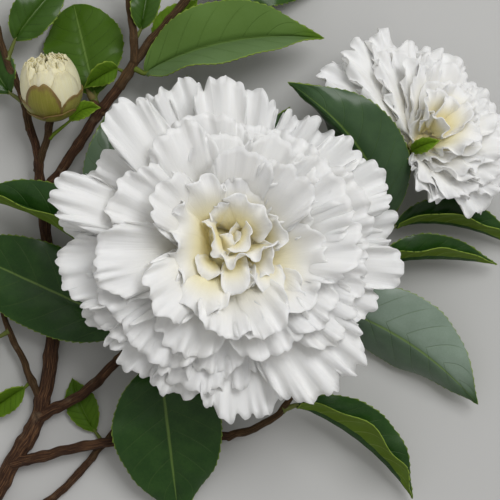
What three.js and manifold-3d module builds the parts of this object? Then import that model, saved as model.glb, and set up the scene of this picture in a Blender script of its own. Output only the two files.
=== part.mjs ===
// A flowering camellia branch, as cut and laid on a table: one woody stem from the cut end, five side
// stems, ten sprays of glossy leaves, a wide ruffled white bloom that faces up, a smaller bloom that
// leans over, and a bud about to open. Millimetres, +Z up, the table at Z = 0, the cut end at the low
// left. The origin is the middle of the branch's box, on the table.
import * as THREE from "three";
import { mergeVertices } from "three/addons/utils/BufferGeometryUtils.js";
import Module from "manifold-3d";

const wasm = await Module();
wasm.setup();

// Driving dimensions
const PLAN_CENTRE = [-8.3, 13.5]; // middle of the branch's box in the frame that the tables use
const GAP = 0.3; // clearance between neighbouring pieces
const LEAF_THICK = 0.7;
const LEAF_ROWS = [0, 0.12, 0.3, 0.5, 0.7, 0.87, 1]; // shares of a blade's length
const LEAF_NARROWEST = 0.5; // half width of a blade's two ends
const PETIOLE_RADIUS = 0.8;
const PETIOLE_SIDES = 5;
const PETIOLE_END = 0.06; // share of the blade's length that the petiole runs into
const PETAL_THICK = 0.8;
const PETAL_ROWS = [0.15, 0.62, 1]; // shares of a petal's length, from just inside the heart to the tip
const PETAL_COLUMNS = [-1, -0.4, 0.4, 1]; // shares of the half width
const PETAL_FOOT = 0.28; // share of the width at the foot
const PETAL_FULL = 0.8; // share of the length where the width is whole
const PETAL_ROUNDING = 0.24; // share of the length that the tip's two corners fall short by
const PETAL_CUPPING = 0.12; // rise of the two margins, as a share of the half width
const PETAL_WAVE = 1.4; // height of the wave along a petal's tip
const HEART_SIDES = 10;
const BUD_SIDES = 14;
const BUD_STEPS = 9;
const STEM_SIDES = 8;
const TWIG_SIDES = 6;
const STEM_STEP = 7; // length of one straight piece of a stem

// Woody stems: points along the middle, the radius at both ends, and the stem it grows from
const STEMS = {
  main_stem: {
    path: [[-80, -83, 2.6], [-66.6, -59.6, 2.5], [-59.2, -46.4, 2.4], [-55.2, -24, 2.8], [-56, -3, 3.6], [-58.5, 17, 4.6]],
    radii: [2.6, 1.4],
  },
  flowering_stem: {
    path: [[-59.2, -46.4, 2.8], [-48, -41, 4.2], [-36.6, -30.5, 6.5]],
    radii: [1.5, 1.3],
    from: "main_stem",
  },
  lower_stem: {
    path: [[-66.6, -59.6, 3.2], [-53, -56.2, 4.6], [-36.4, -53.1, 4.6], [-18, -52.6, 3.6], [-5.6, -51.9, 4]],
    radii: [1.5, 1.1],
    from: "main_stem",
  },
  low_side_stem: {
    path: [[-76, -76, 1.5], [-66, -74.5, 1.3], [-55.8, -70, 1.2], [-44, -58, 1.2]],
    radii: [1.2, 1.0],
    from: "main_stem",
  },
  upper_left_stem: {
    path: [[-58.5, 18, 4.6], [-58.8, 25, 5.6], [-61, 34, 7]],
    radii: [1.25, 1.1],
    from: "main_stem",
  },
  diagonal_stem: {
    path: [[-58, 15, 4.8], [-53, 21.5, 6], [-44.5, 34, 8], [-36, 45.2, 9.3]],
    radii: [1.35, 1.4],
    from: "main_stem",
  },
};

// Sprays: a twig that grows on from a stem, and its leaves. A leaf has the twig's point that it grows
// from, its blade's foot, middle and tip, its width, and how far its left and right halves are lifted,
// in degrees above level.
const SPRAYS = {
  bloom_spray: {
    path: [[-36.3, -30.2, 6.5], [-22, -16.5, 9.4], [-13, -7.5, 12.6], [-8, -2, 17.4]],
    radii: [1.25, 1.3],
    from: "flowering_stem",
    leaves: [
      { from: [-27, -21.5, 8.2], blade: [[-31, -22, 9.5], [-58.5, -9.5, 8.6], [-87, 3, 1.2]], width: 25, lifts: [4, 8] },
      { from: [-24.5, -19, 8.9], blade: [[-25, -30.5, 10], [-22.5, -51.5, 9], [-20, -76.5, 0.4]], width: 31, lifts: [8, 8] },
      { from: [-23, -17.5, 9.2], blade: [[-33, -12.5, 11.5], [-53.5, 7, 12.5], [-80.5, 15, 8]], width: 22, lifts: [106, 12] },
      { from: [-16, -10.5, 10.6], blade: [[-20, -4.5, 11.5], [-33.5, 17.5, 12.5], [-39, 38.5, 9]], width: 25, lifts: [6, 6] },
      { from: [-11.5, -6, 13.6], blade: [[-10, 2, 15], [-15, 24, 14], [-17.5, 48.5, 7]], width: 24, lifts: [8, 8] },
      { from: [-10, -4, 15], blade: [[-3, 5, 16], [3.5, 22, 15], [11, 39.5, 9]], width: 20, lifts: [8, 4] },
    ],
  },
  second_bloom_spray: {
    path: [[-15, -10, 10.4], [0, -11, 8], [14, -9.5, 8], [26, -5, 9], [36, 4, 10.5], [40.5, 14, 12.2], [44.4, 26.9, 16.2]],
    radii: [1.15, 1.1],
    from: "bloom_spray",
    leaves: [
      { from: [15, -9.2, 8], blade: [[20.5, -14.5, 9.5], [44, -25.5, 12], [63.5, -43, 5]], width: 25, lifts: [4, -50] },
      { from: [36.8, 5.8, 10.8], blade: [[38, 9, 12.5], [28.5, 28.5, 24.5], [10, 44.5, 28]], width: 23, lifts: [-78, 5] },
      { from: [34, 1.5, 10.8], blade: [[40, 6.5, 10.4], [57, 6.5, 8], [76.5, 0, 0.4]], width: 18, lifts: [14, 108] },
      { from: [28.5, -3.2, 9.5], blade: [[34, -4.5, 9], [50, -2.5, 8.6], [69, -4, 4]], width: 17, lifts: [20, 110] },
    ],
  },
  lower_spray: {
    path: [[-5.2, -51.9, 4], [5.6, -47.5, 6], [10, -43, 7.5], [13, -37, 8.5]],
    radii: [1.05, 0.8],
    from: "lower_stem",
    leaves: [
      { from: [9, -44.2, 7.2], blade: [[13, -43, 7.5], [31, -53.5, 9], [45.5, -69.5, 3]], width: 23, lifts: [8, 118] },
    ],
  },
  low_side_spray: {
    path: [[-43.7, -57.7, 1.2], [-38, -50.8, 1.2], [-34, -45, 1.3]],
    radii: [0.95, 0.8],
    from: "low_side_stem",
    leaves: [
      { from: [-35, -46.5, 1.2], blade: [[-30, -44, 1.6], [-17, -39, 1.6], [-4, -36, 0.4]], width: 13, lifts: [6, 6] },
      { from: [-41, -54.5, 1.2], blade: [[-43.5, -51, 1.2], [-47.5, -43, 1.2], [-50, -36, 0.4]], width: 9, lifts: [6, 6] },
    ],
  },
  left_spray: {
    path: [[-58.8, -42, 2.6], [-62, -34, 4], [-66.8, -23.4, 4.6], [-70, -14, 4.2]],
    radii: [1.1, 0.7],
    from: "main_stem",
    leaves: [
      { from: [-61, -36.5, 3.6], blade: [[-63, -38.5, 3.6], [-69, -42, 3.2], [-77, -48.5, 0.4]], width: 9, lifts: [10, 60] },
      { from: [-67, -22.6, 4.6], blade: [[-71.5, -25, 4.2], [-80, -30, 3.6], [-89, -37, 0.4]], width: 13, lifts: [14, 12] },
      { from: [-69.7, -15, 4.2], blade: [[-73, -14.5, 3.8], [-82, -18, 2.6], [-93, -19, 0.4]], width: 12, lifts: [8, 8] },
    ],
  },
  upper_left_spray: {
    path: [[-61.2, 34.4, 7], [-62.5, 40.4, 7.4], [-67.7, 53.6, 8.2], [-70.5, 63, 8.6], [-71.5, 69, 8.6]],
    radii: [1.1, 0.8],
    from: "upper_left_stem",
    leaves: [
      { from: [-62.6, 40.8, 7.4], blade: [[-66.5, 43.5, 7.4], [-72, 52, 5.5], [-80, 64, 0.4]], width: 13, lifts: [12, 20] },
      { from: [-67.2, 52.6, 8.1], blade: [[-65, 58, 8.8], [-58.5, 66.5, 9], [-50, 77, 5]], width: 13, lifts: [14, 20] },
      { from: [-71.3, 68, 8.6], blade: [[-73, 73.5, 8.4], [-76.5, 87, 6], [-78.5, 101, 0.4]], width: 15, lifts: [10, 10] },
      { from: [-70.4, 62.6, 8.6], blade: [[-75.5, 65.5, 8.2], [-85, 72, 5], [-93, 81, 0.6]], width: 13, lifts: [8, 8] },
    ],
  },
  bud_spray: {
    path: [[-59, 23, 5.4], [-57.4, 26.5, 7.4], [-55.8, 31.4, 10], [-54.9, 34.6, 12]],
    radii: [0.9, 1.1],
    from: "upper_left_stem",
    leaves: [
      { from: [-56, 30.8, 9.7], blade: [[-49.5, 35.5, 11.5], [-45.5, 38.5, 12.4], [-41, 39, 11.8]], width: 5, lifts: [20, 20] },
    ],
  },
  behind_bud_spray: {
    path: [[-41.2, 38.6, 8.6], [-42.6, 40.2, 8.4], [-43.6, 41.8, 7.8]],
    radii: [0.9, 0.8],
    from: "diagonal_stem",
    leaves: [
      { from: [-43, 40.8, 8], blade: [[-43, 44, 6.8], [-46.5, 55.5, 4.4], [-52, 70, 0.8]], width: 22, lifts: [-2, 3] },
    ],
  },
  top_spray: {
    path: [[-35.6, 45.7, 9.4], [-31.5, 52, 10], [-17.5, 69, 10], [-10, 77, 9.4]],
    radii: [1.4, 0.9],
    from: "diagonal_stem",
    leaves: [
      { from: [-32.6, 50.4, 9.8], blade: [[-29, 48.5, 11.5], [-6, 56.5, 14.5], [20.5, 58.5, 9]], width: 25, lifts: [10, 62] },
      { from: [-29.5, 54.3, 10], blade: [[-26, 56.5, 9], [-21, 62, 8.8], [-14.5, 70, 5]], width: 11, lifts: [20, 14] },
      { from: [-33.8, 48.6, 9.6], blade: [[-36.5, 50, 9.6], [-40.5, 48.5, 10.2], [-46, 44.5, 9.2]], width: 7, lifts: [10, 40] },
      { from: [-16.5, 70.2, 10], blade: [[-12.5, 72.5, 10], [4, 75, 8], [22, 74, 1]], width: 17, lifts: [12, 12] },
      { from: [-10.4, 76.6, 9.4], blade: [[-7, 81, 9], [3, 94, 6], [9, 107, 0.4]], width: 19, lifts: [10, 8] },
    ],
  },
  fork_spray: {
    path: [[-31.8, 52.8, 10.4], [-32.2, 60, 11.4], [-33.6, 70, 10.6], [-35, 79, 10]],
    radii: [1.2, 0.8],
    from: "top_spray",
    leaves: [
      { from: [-32, 57, 11], blade: [[-30, 60.5, 12], [-28.5, 68, 12.2], [-27.5, 77, 9]], width: 9, lifts: [24, 24] },
      { from: [-34.9, 78.4, 10], blade: [[-35.5, 83.5, 9.6], [-36.5, 97, 6.4], [-33.5, 111, 0.4]], width: 19, lifts: [8, 8] },
      { from: [-34.4, 75.6, 10.2], blade: [[-39.5, 79, 9.6], [-49, 86, 7], [-60.5, 92, 0.4]], width: 15, lifts: [10, 8] },
    ],
  },
};

// Blooms: petals stand in layers round the axis, the lowest first. A layer's rise is the slope of its
// petals above the flower's own plane at foot and tip. A petal is its heading in plan, its reach from
// the axis and its width.
const MAIN_BLOOM = {
  foot: [-7, -0.8, 19.5],
  lean: 5, // of the axis from upright, in degrees
  towards: 18, // heading of that lean
  core: 13, // radius of the packed heart that the petals stand out of
  layers: [
    { rise: [16, -6], petals: [[104, 44, 26], [72, 43, 30], [48, 41, 24], [20, 42, 24], [345, 42, 26], [311, 48, 34],
      [277, 46, 32], [237, 43, 30], [205, 40, 26], [170, 42, 26], [147, 43, 26]] },
    { rise: [27, 2], petals: [[120, 48, 24], [94, 46, 28], [62, 42, 18], [26, 46, 27], [352, 46, 26], [293, 41, 24],
      [252, 41, 26], [221, 41, 24], [187, 45, 28]] },
    { rise: [38, 12], petals: [[157, 49, 24], [132, 48, 20], [76, 39, 22], [39, 43, 20], [10, 45, 24], [333, 42, 28],
      [270, 36, 24], [229, 38, 28]] },
    { rise: [50, 24], petals: [[186, 38, 26], [138, 37, 26], [100, 34, 26], [50, 34, 30], [18, 35, 24], [308, 32, 28],
      [262, 30, 26]] },
    { rise: [64, 42], petals: [[107, 26, 24], [348, 25, 26], [190, 21, 30], [270, 20, 26]] },
  ],
};
const SECOND_BLOOM = {
  foot: [45.2, 27.8, 17.5],
  lean: 42,
  towards: 45,
  core: 5,
  layers: [
    { rise: [12, -2], petals: [[45, 27, 24], [82, 30, 22], [112, 31, 15], [128, 32, 11], [5, 27, 22], [-38, 25, 20]] },
    { rise: [34, 18], petals: [[62, 29, 22], [98, 29, 16], [24, 28, 22], [-18, 26, 20], [-62, 20, 14]] },
    { rise: [62, 46], petals: [[45, 19, 22], [92, 19, 14], [262, 13, 8], [300, 16, 14], [345, 19, 20]] },
  ],
};
const BUD = { foot: [-54.7, 35.6, 12.8], length: 18.5, radius: 8.6, lean: 62, towards: 96 };

const COLOURS = {
  bark: { color: 0x5f3a26, roughness: 0.85 },
  leaf: { color: 0x24491c, roughness: 0.35 },
  petal: { color: 0xf4f2ea, roughness: 0.6 },
  bud: { color: 0xd9dca0, roughness: 0.55 },
};

const radians = THREE.MathUtils.degToRad;
const vector = (p) => new THREE.Vector3(...p);

// An indexed geometry, its shared points merged, as a solid
function solidOf(geometry) {
  const merged = mergeVertices(geometry, 1e-4);
  return new wasm.Manifold(
    new wasm.Mesh({
      numProp: 3,
      vertProperties: merged.attributes.position.array,
      triVerts: new Uint32Array(merged.index.array),
    }),
  );
}

function solidFrom(points, triangles) {
  const geometry = new THREE.BufferGeometry();
  geometry.setAttribute("position", new THREE.Float32BufferAttribute(points.flatMap((p) => p.toArray()), 3));
  geometry.setIndex(triangles.flat());
  return solidOf(geometry);
}

function fused(solids) {
  return solids.reduce((whole, piece) => whole.add(piece));
}

// The largest of a solid's separate surfaces: no scraps that a cut leaves, and no hollow sealed inside
function largest(solid) {
  return solid.decompose().reduce((a, b) => (b.volume() > a.volume() ? b : a));
}

function meshOf(name, solid, colour) {
  const made = solid.getMesh();
  const geometry = new THREE.BufferGeometry();
  geometry.setAttribute("position", new THREE.BufferAttribute(made.vertProperties, 3));
  geometry.setIndex(new THREE.BufferAttribute(made.triVerts, 1));
  const mesh = new THREE.Mesh(geometry, new THREE.MeshStandardMaterial({ metalness: 0, ...COLOURS[colour] }));
  mesh.name = name;
  return mesh;
}

// A tapering stem with flat ends: rings of points round a smooth curve, `grow` thicker than its own radius
function limb({ path, radii }, sides, grow = 0) {
  const curve = new THREE.CatmullRomCurve3(path.map(vector));
  const steps = Math.max(1, Math.ceil(curve.getLength() / STEM_STEP));
  const frames = curve.computeFrenetFrames(steps);
  const points = [];
  const triangles = [];
  for (let i = 0; i <= steps; i += 1) {
    const centre = curve.getPointAt(i / steps);
    const radius = THREE.MathUtils.lerp(radii[0], radii[1], i / steps) + grow;
    for (let k = 0; k < sides; k += 1) {
      const angle = (2 * Math.PI * k) / sides;
      const spoke = frames.normals[i].clone().multiplyScalar(Math.cos(angle) * radius);
      spoke.addScaledVector(frames.binormals[i], Math.sin(angle) * radius);
      points.push(centre.clone().add(spoke));
    }
  }
  const at = (i, k) => i * sides + (k % sides);
  for (let i = 0; i < steps; i += 1) {
    for (let k = 0; k < sides; k += 1) {
      triangles.push([at(i, k), at(i, k + 1), at(i + 1, k + 1)], [at(i, k), at(i + 1, k + 1), at(i + 1, k)]);
    }
  }
  for (let k = 1; k < sides - 1; k += 1) {
    triangles.push([at(0, 0), at(0, k + 1), at(0, k)], [at(steps, 0), at(steps, k), at(steps, k + 1)]);
  }
  return solidFrom(points, triangles);
}

// A thin closed sheet: top and bottom copies of a grid of points, joined round the rim.
// grid[i][j] holds { p, n }, the point and the upward normal. Nothing goes below the table.
function sheet(grid, thick) {
  const rows = grid.length;
  const columns = grid[0].length;
  const points = [];
  for (const side of [1, -1]) {
    for (const { p, n } of grid.flat()) {
      const point = p.clone().addScaledVector(n, (side * thick) / 2);
      point.z = Math.max(point.z, side * n.z > 0 ? thick : 0);
      points.push(point);
    }
  }
  const at = (side, i, j) => side * rows * columns + i * columns + j;
  const triangles = [];
  for (let i = 0; i < rows - 1; i += 1) {
    for (let j = 0; j < columns - 1; j += 1) {
      const [a, b, c, d] = [at(0, i, j), at(0, i + 1, j), at(0, i + 1, j + 1), at(0, i, j + 1)];
      const [e, f, g, h] = [at(1, i, j), at(1, i + 1, j), at(1, i + 1, j + 1), at(1, i, j + 1)];
      triangles.push([a, b, c], [a, c, d], [e, g, f], [e, h, g]);
    }
  }
  const rim = [];
  for (let i = 0; i < rows - 1; i += 1) rim.push([i, 0]);
  for (let j = 0; j < columns - 1; j += 1) rim.push([rows - 1, j]);
  for (let i = rows - 1; i > 0; i -= 1) rim.push([i, columns - 1]);
  for (let j = columns - 1; j > 0; j -= 1) rim.push([0, j]);
  rim.forEach(([i, j], k) => {
    const [m, n] = rim[(k + 1) % rim.length];
    triangles.push([at(0, i, j), at(1, i, j), at(1, m, n)], [at(0, i, j), at(1, m, n), at(0, m, n)]);
  });
  return solidFrom(points, triangles);
}

// Share of the greatest half width at share t of a blade's length: rounded foot, widest before the
// middle, drawn out to a point
function bladeShare(t) {
  return Math.sin(Math.PI * t ** 0.85) ** 0.85 * (1 - 0.35 * THREE.MathUtils.smoothstep(t, 0.7, 1));
}

// A leaf: its midrib is the parabola through foot, middle and tip, its halves are lifted from level,
// and its petiole sinks into the twig
function leafSolid({ from, blade, width, lifts }) {
  const [foot, middle, tip] = blade.map(vector);
  const steepness = tip.clone().sub(foot);
  const bow = foot.clone().add(tip).addScaledVector(middle, -2).multiplyScalar(2);
  const grid = LEAF_ROWS.map((t) => {
    const place = foot.clone().addScaledVector(steepness, t).addScaledVector(bow, t * (t - 1));
    const ahead = steepness.clone().addScaledVector(bow, 2 * t - 1).normalize();
    const side = new THREE.Vector3(-ahead.y, ahead.x, 0).normalize();
    const up = new THREE.Vector3().crossVectors(ahead, side);
    const half = Math.max(LEAF_NARROWEST, (width / 2) * bladeShare(t));
    const [left, right] = lifts.map((lift) => radians(lift) * Math.min(1, 8 * t, 8 * (1 - t)));
    const tilted = (a, b) => side.clone().multiplyScalar(a).addScaledVector(up, b);
    const leftNormal = tilted(-Math.sin(left), Math.cos(left));
    const rightNormal = tilted(Math.sin(right), Math.cos(right));
    return [
      { p: place.clone().add(tilted(-half * Math.cos(right), half * Math.sin(right))), n: rightNormal },
      { p: place, n: leftNormal.clone().add(rightNormal).normalize() },
      { p: place.clone().add(tilted(half * Math.cos(left), half * Math.sin(left))), n: leftNormal },
    ];
  });
  const inBlade = foot.clone().addScaledVector(steepness, PETIOLE_END);
  inBlade.addScaledVector(bow, PETIOLE_END * (PETIOLE_END - 1));
  const petiole = limb({ path: [from, inBlade.toArray()], radii: [PETIOLE_RADIUS, PETIOLE_RADIUS] }, PETIOLE_SIDES);
  return sheet(grid, LEAF_THICK).add(petiole);
}

// The three directions of a bloom or bud: its axis, the way downhill and the way across
function leaningFrame({ lean, towards }) {
  const axis = new THREE.Vector3(
    Math.sin(radians(lean)) * Math.cos(radians(towards)),
    Math.sin(radians(lean)) * Math.sin(radians(towards)),
    Math.cos(radians(lean)),
  );
  const across = new THREE.Vector3(-Math.sin(radians(towards)), Math.cos(radians(towards)), 0);
  return { axis, across, downhill: new THREE.Vector3().crossVectors(across, axis) };
}

// A petal: its middle line bends evenly from the first slope to the last as it runs out from the axis,
// its foot is narrow and its tip round, and a wave across it grows towards the tip
function petalSolid(bloom, rise, [heading, reach, width]) {
  const { axis, across, downhill } = leaningFrame(bloom);
  const turn = radians(heading - bloom.towards);
  const out = downhill.clone().multiplyScalar(Math.cos(turn)).addScaledVector(across, Math.sin(turn));
  const tangent = new THREE.Vector3().crossVectors(axis, out);
  const [low, high] = rise.map(radians);
  const bend = high - low;
  const length = (reach * bend) / (Math.sin(high) - Math.sin(low));
  const grid = PETAL_ROWS.map((v) =>
    PETAL_COLUMNS.map((u) => {
      const along = v * (1 - PETAL_ROUNDING * Math.abs(u) ** 2.6);
      const slope = low + bend * along;
      const gone = (length * (Math.sin(slope) - Math.sin(low))) / bend;
      const height = (length * (Math.cos(low) - Math.cos(slope))) / bend;
      const n = axis.clone().multiplyScalar(Math.cos(slope)).addScaledVector(out, -Math.sin(slope));
      const widening = Math.sin((Math.PI / 2) * Math.min(1, v / PETAL_FULL));
      const half = (width / 2) * THREE.MathUtils.lerp(PETAL_FOOT, 1, widening);
      const cupping = PETAL_CUPPING * half * u * u;
      const ruffle = PETAL_WAVE * v ** 3 * Math.sin(Math.PI * (1.5 * u + heading));
      const p = vector(bloom.foot).addScaledVector(out, gone).addScaledVector(axis, height);
      p.addScaledVector(tangent, half * u).addScaledVector(n, cupping + ruffle);
      return { p, n };
    }),
  );
  return sheet(grid, PETAL_THICK);
}

// A solid of revolution about a leaning axis, from a profile of [radius, height] pairs
function turned({ foot, ...leaning }, profile, sides) {
  const { axis, across, downhill } = leaningFrame(leaning);
  const lathe = new THREE.LatheGeometry(profile.map(([r, h]) => new THREE.Vector2(r, h)), sides);
  const turn = new THREE.Matrix4().makeBasis(downhill, axis, across.clone().negate());
  lathe.applyMatrix4(turn.setPosition(vector(foot)));
  lathe.deleteAttribute("normal");
  lathe.deleteAttribute("uv");
  return solidOf(lathe);
}

// A bloom: layers of petals that stand out of a packed heart, whose profile is in shares of its radius
function bloomSolid(bloom) {
  const profile = [[0, -0.07], [0.3, -0.04], [0.9, 0.16], [1, 0.36], [0.9, 0.8], [0.6, 1.3], [0.25, 1.6], [0, 1.65]];
  const heart = turned(bloom, profile.map(([r, h]) => [r * bloom.core, h * bloom.core]), HEART_SIDES);
  const petals = bloom.layers.flatMap(({ rise, petals: row }) => row.map((petal) => petalSolid(bloom, rise, petal)));
  return largest(fused([heart, ...petals]));
}

// The bud: an egg of wrapped petals, blunt at the tip
function budSolid() {
  const { length, radius } = BUD;
  const profile = Array.from({ length: BUD_STEPS + 1 }, (_, k) => {
    const t = k / BUD_STEPS;
    return [k === 0 || k === BUD_STEPS ? 0 : radius * Math.sin(Math.PI * t ** 0.9) ** 0.6, length * t];
  });
  return turned(BUD, profile, BUD_SIDES);
}

const branch = new THREE.Group();
branch.name = "camellia_branch";
branch.position.set(-PLAN_CENTRE[0], -PLAN_CENTRE[1], 0);

const carriers = { ...STEMS, ...SPRAYS };

// A piece cut clear of the stem or twig that it grows from
function clearOf(solid, from) {
  return from ? largest(solid.subtract(limb(carriers[from], STEM_SIDES, GAP))) : solid;
}

for (const [name, stem] of Object.entries(STEMS)) {
  branch.add(meshOf(name, clearOf(limb(stem, STEM_SIDES), stem.from), "bark"));
}
for (const [name, spray] of Object.entries(SPRAYS)) {
  const whole = fused([limb(spray, TWIG_SIDES), ...spray.leaves.map(leafSolid)]);
  branch.add(meshOf(name, clearOf(whole, spray.from), "leaf"));
}
branch.add(meshOf("main_bloom", bloomSolid(MAIN_BLOOM), "petal"));
branch.add(meshOf("second_bloom", bloomSolid(SECOND_BLOOM), "petal"));
branch.add(meshOf("flower_bud", budSolid(), "bud"));

export default branch;
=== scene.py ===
"""A cut camellia branch in flower: bark, toothed leaves, two ruffled blooms and a swelling bud.

The tables are in millimetres, as in the part's source, with the table top at Z = 0. Every piece is a
surface worked out on a grid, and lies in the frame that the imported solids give.
"""

import bpy
import numpy as np
from bpy.props import FloatProperty, FloatVectorProperty, IntProperty, PointerProperty
from mathutils import Matrix, Vector


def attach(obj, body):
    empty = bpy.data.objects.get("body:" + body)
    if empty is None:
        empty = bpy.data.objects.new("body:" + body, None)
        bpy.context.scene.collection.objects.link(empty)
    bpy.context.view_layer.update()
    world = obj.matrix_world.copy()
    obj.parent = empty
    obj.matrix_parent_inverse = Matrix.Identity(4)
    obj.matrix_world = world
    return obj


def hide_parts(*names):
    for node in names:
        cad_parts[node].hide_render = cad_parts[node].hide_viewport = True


bl_info = {
    "name": "Camellia Branch",
    "version": (1, 0, 0),
    "blender": (4, 5, 0),
    "location": "View3D > Sidebar > Camellia",
    "description": "Builds a flowering camellia branch with its leaves, blooms and bud",
    "category": "Add Mesh",
}

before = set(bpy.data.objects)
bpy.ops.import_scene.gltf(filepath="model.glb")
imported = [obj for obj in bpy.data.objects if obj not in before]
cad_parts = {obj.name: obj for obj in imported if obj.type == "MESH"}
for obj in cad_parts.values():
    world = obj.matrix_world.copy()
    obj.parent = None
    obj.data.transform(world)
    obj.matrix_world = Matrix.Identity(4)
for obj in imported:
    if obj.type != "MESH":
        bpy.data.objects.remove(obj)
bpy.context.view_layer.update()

# A millimetre in metres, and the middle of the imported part's plan, in millimetres. The camera's height, the
# gap that the lowest points keep to the table, and the floor's half width and drop are in metres.
MM = 0.001
PLAN_CENTRE = np.array([-8.3, 13.5, 0.0])
CAMERA_HEIGHT = 0.480
CAMERA_FOCAL_PIXELS = 1705.66
PHOTO_PIXELS = 500
SENSOR = 36.0
TABLE_GAP = 0.00002
FLOOR_HALF, FLOOR_DROP = 3.0, 0.0001

# The numbers that each point of a leaf, a petal or a bud scale carries
LEAF_FIELDS = ("share", "along", "under", "young", "stalk", "shift", "margin", "wax")
PETAL_FIELDS = ("across", "along", "cream", "number")
SCALE_FIELDS = ("across", "along", "number", "rim", "petal")

# Rows and columns of the grids, the length of one row of bark and of leaf, in millimetres, the steps between
# two points of a curve, and the count of points past which a bloom's petals go on in a new piece
PETAL_GRID, HEART_GRID, CALYX_GRID, SCALE_GRID = (15, 89), (15, 69), (12, 25), (26, 41)
MOUND_GRID, STALK_GRID, END_BUD_GRID = (16, 40), (22, 12), (26, 16)
BARK_SIDES, CUT_SIDES = 28, 32
BARK_ROW, LEAF_ROW = 0.55, 0.46
CURVE_STEPS, PIECE_POINTS = 24, 90000

# Lengths of a petal's three sizes of wave along its rim, in millimetres, the first two drawn from a range
RIM_WAVES = (7.0, 10.5), (3.3, 4.4), 2.6

# The cut's rings: the share of the stem's radius and the height above the cut, in millimetres
CUT_SHARES = np.array([0.94, 1.0, 0.97, 0.8, 0.6, 0.4, 0.2, 0.06])
CUT_HEIGHTS = np.array([-0.5, -0.1, 0.05, 0.10, 0.12, 0.14, 0.15, 0.15])

# First seeds of the random draws
SEEDS = {"stems": 11, "twigs": 41, "leaves": 1000, "bract": 990, "folded petals": 300, "bud scales": 340}

# Fixed tints of the materials and the sky, beside the colours that a user would change
TINTS = {
    "crack": (0.020, 0.009, 0.006), "weathered": (0.26, 0.19, 0.12), "green bark": (0.20, 0.17, 0.055),
    "dark wood": (0.46, 0.31, 0.16), "pale wood": (0.62, 0.47, 0.27), "inner bark": (0.12, 0.05, 0.025),
    "pith": (0.30, 0.17, 0.08), "mottle": (0.030, 0.085, 0.012), "young": (0.115, 0.215, 0.010),
    # The lighter grey-green of a leaf's painted sheen stands in for reflected light
    "wax": (0.235, 0.305, 0.245), "vein": (0.070, 0.14, 0.024), "midrib": (0.15, 0.24, 0.05),
    "lower mottle": (0.15, 0.25, 0.05), "lower vein": (0.30, 0.38, 0.11), "stalk": (0.13, 0.15, 0.035),
    "petal vein": (0.90, 0.90, 0.90), "petal cloud": (0.96, 0.95, 0.90), "scale streak": (0.36, 0.32, 0.07),
    "scale foot": (0.10, 0.07, 0.015), "folded streak": (0.97, 0.93, 0.70), "folded foot": (0.62, 0.60, 0.20),
    "floor grain": (0.50, 0.50, 0.49), "sky": (1.0, 0.99, 0.97),
}

# Woody stems: points along the middle, and the radius at both ends
STEMS = {
    "main_stem": ([[-80, -83, 2.6], [-66.6, -59.6, 2.5], [-59.2, -46.4, 2.4], [-55.2, -24, 2.8],
                   [-56, -3, 3.6], [-58.5, 17, 4.6]], (2.6, 1.4)),
    "flowering_stem": ([[-59.2, -46.4, 2.8], [-48, -41, 4.2], [-36.6, -30.5, 6.5]], (1.5, 1.3)),
    "lower_stem": ([[-66.6, -59.6, 3.2], [-53, -56.2, 4.6], [-36.4, -53.1, 4.6], [-18, -52.6, 3.6],
                    [-5.6, -51.9, 4]], (1.5, 1.1)),
    "low_side_stem": ([[-76, -76, 1.5], [-66, -74.5, 1.3], [-55.8, -70, 1.2], [-44, -58, 1.2]], (1.2, 1.0)),
    "upper_left_stem": ([[-58.5, 18, 4.6], [-58.8, 25, 5.6], [-61, 34, 7]], (1.25, 1.1)),
    "diagonal_stem": ([[-58, 15, 4.8], [-53, 21.5, 6], [-44.5, 34, 8], [-36, 45.2, 9.3]], (1.35, 1.4)),
}
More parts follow.
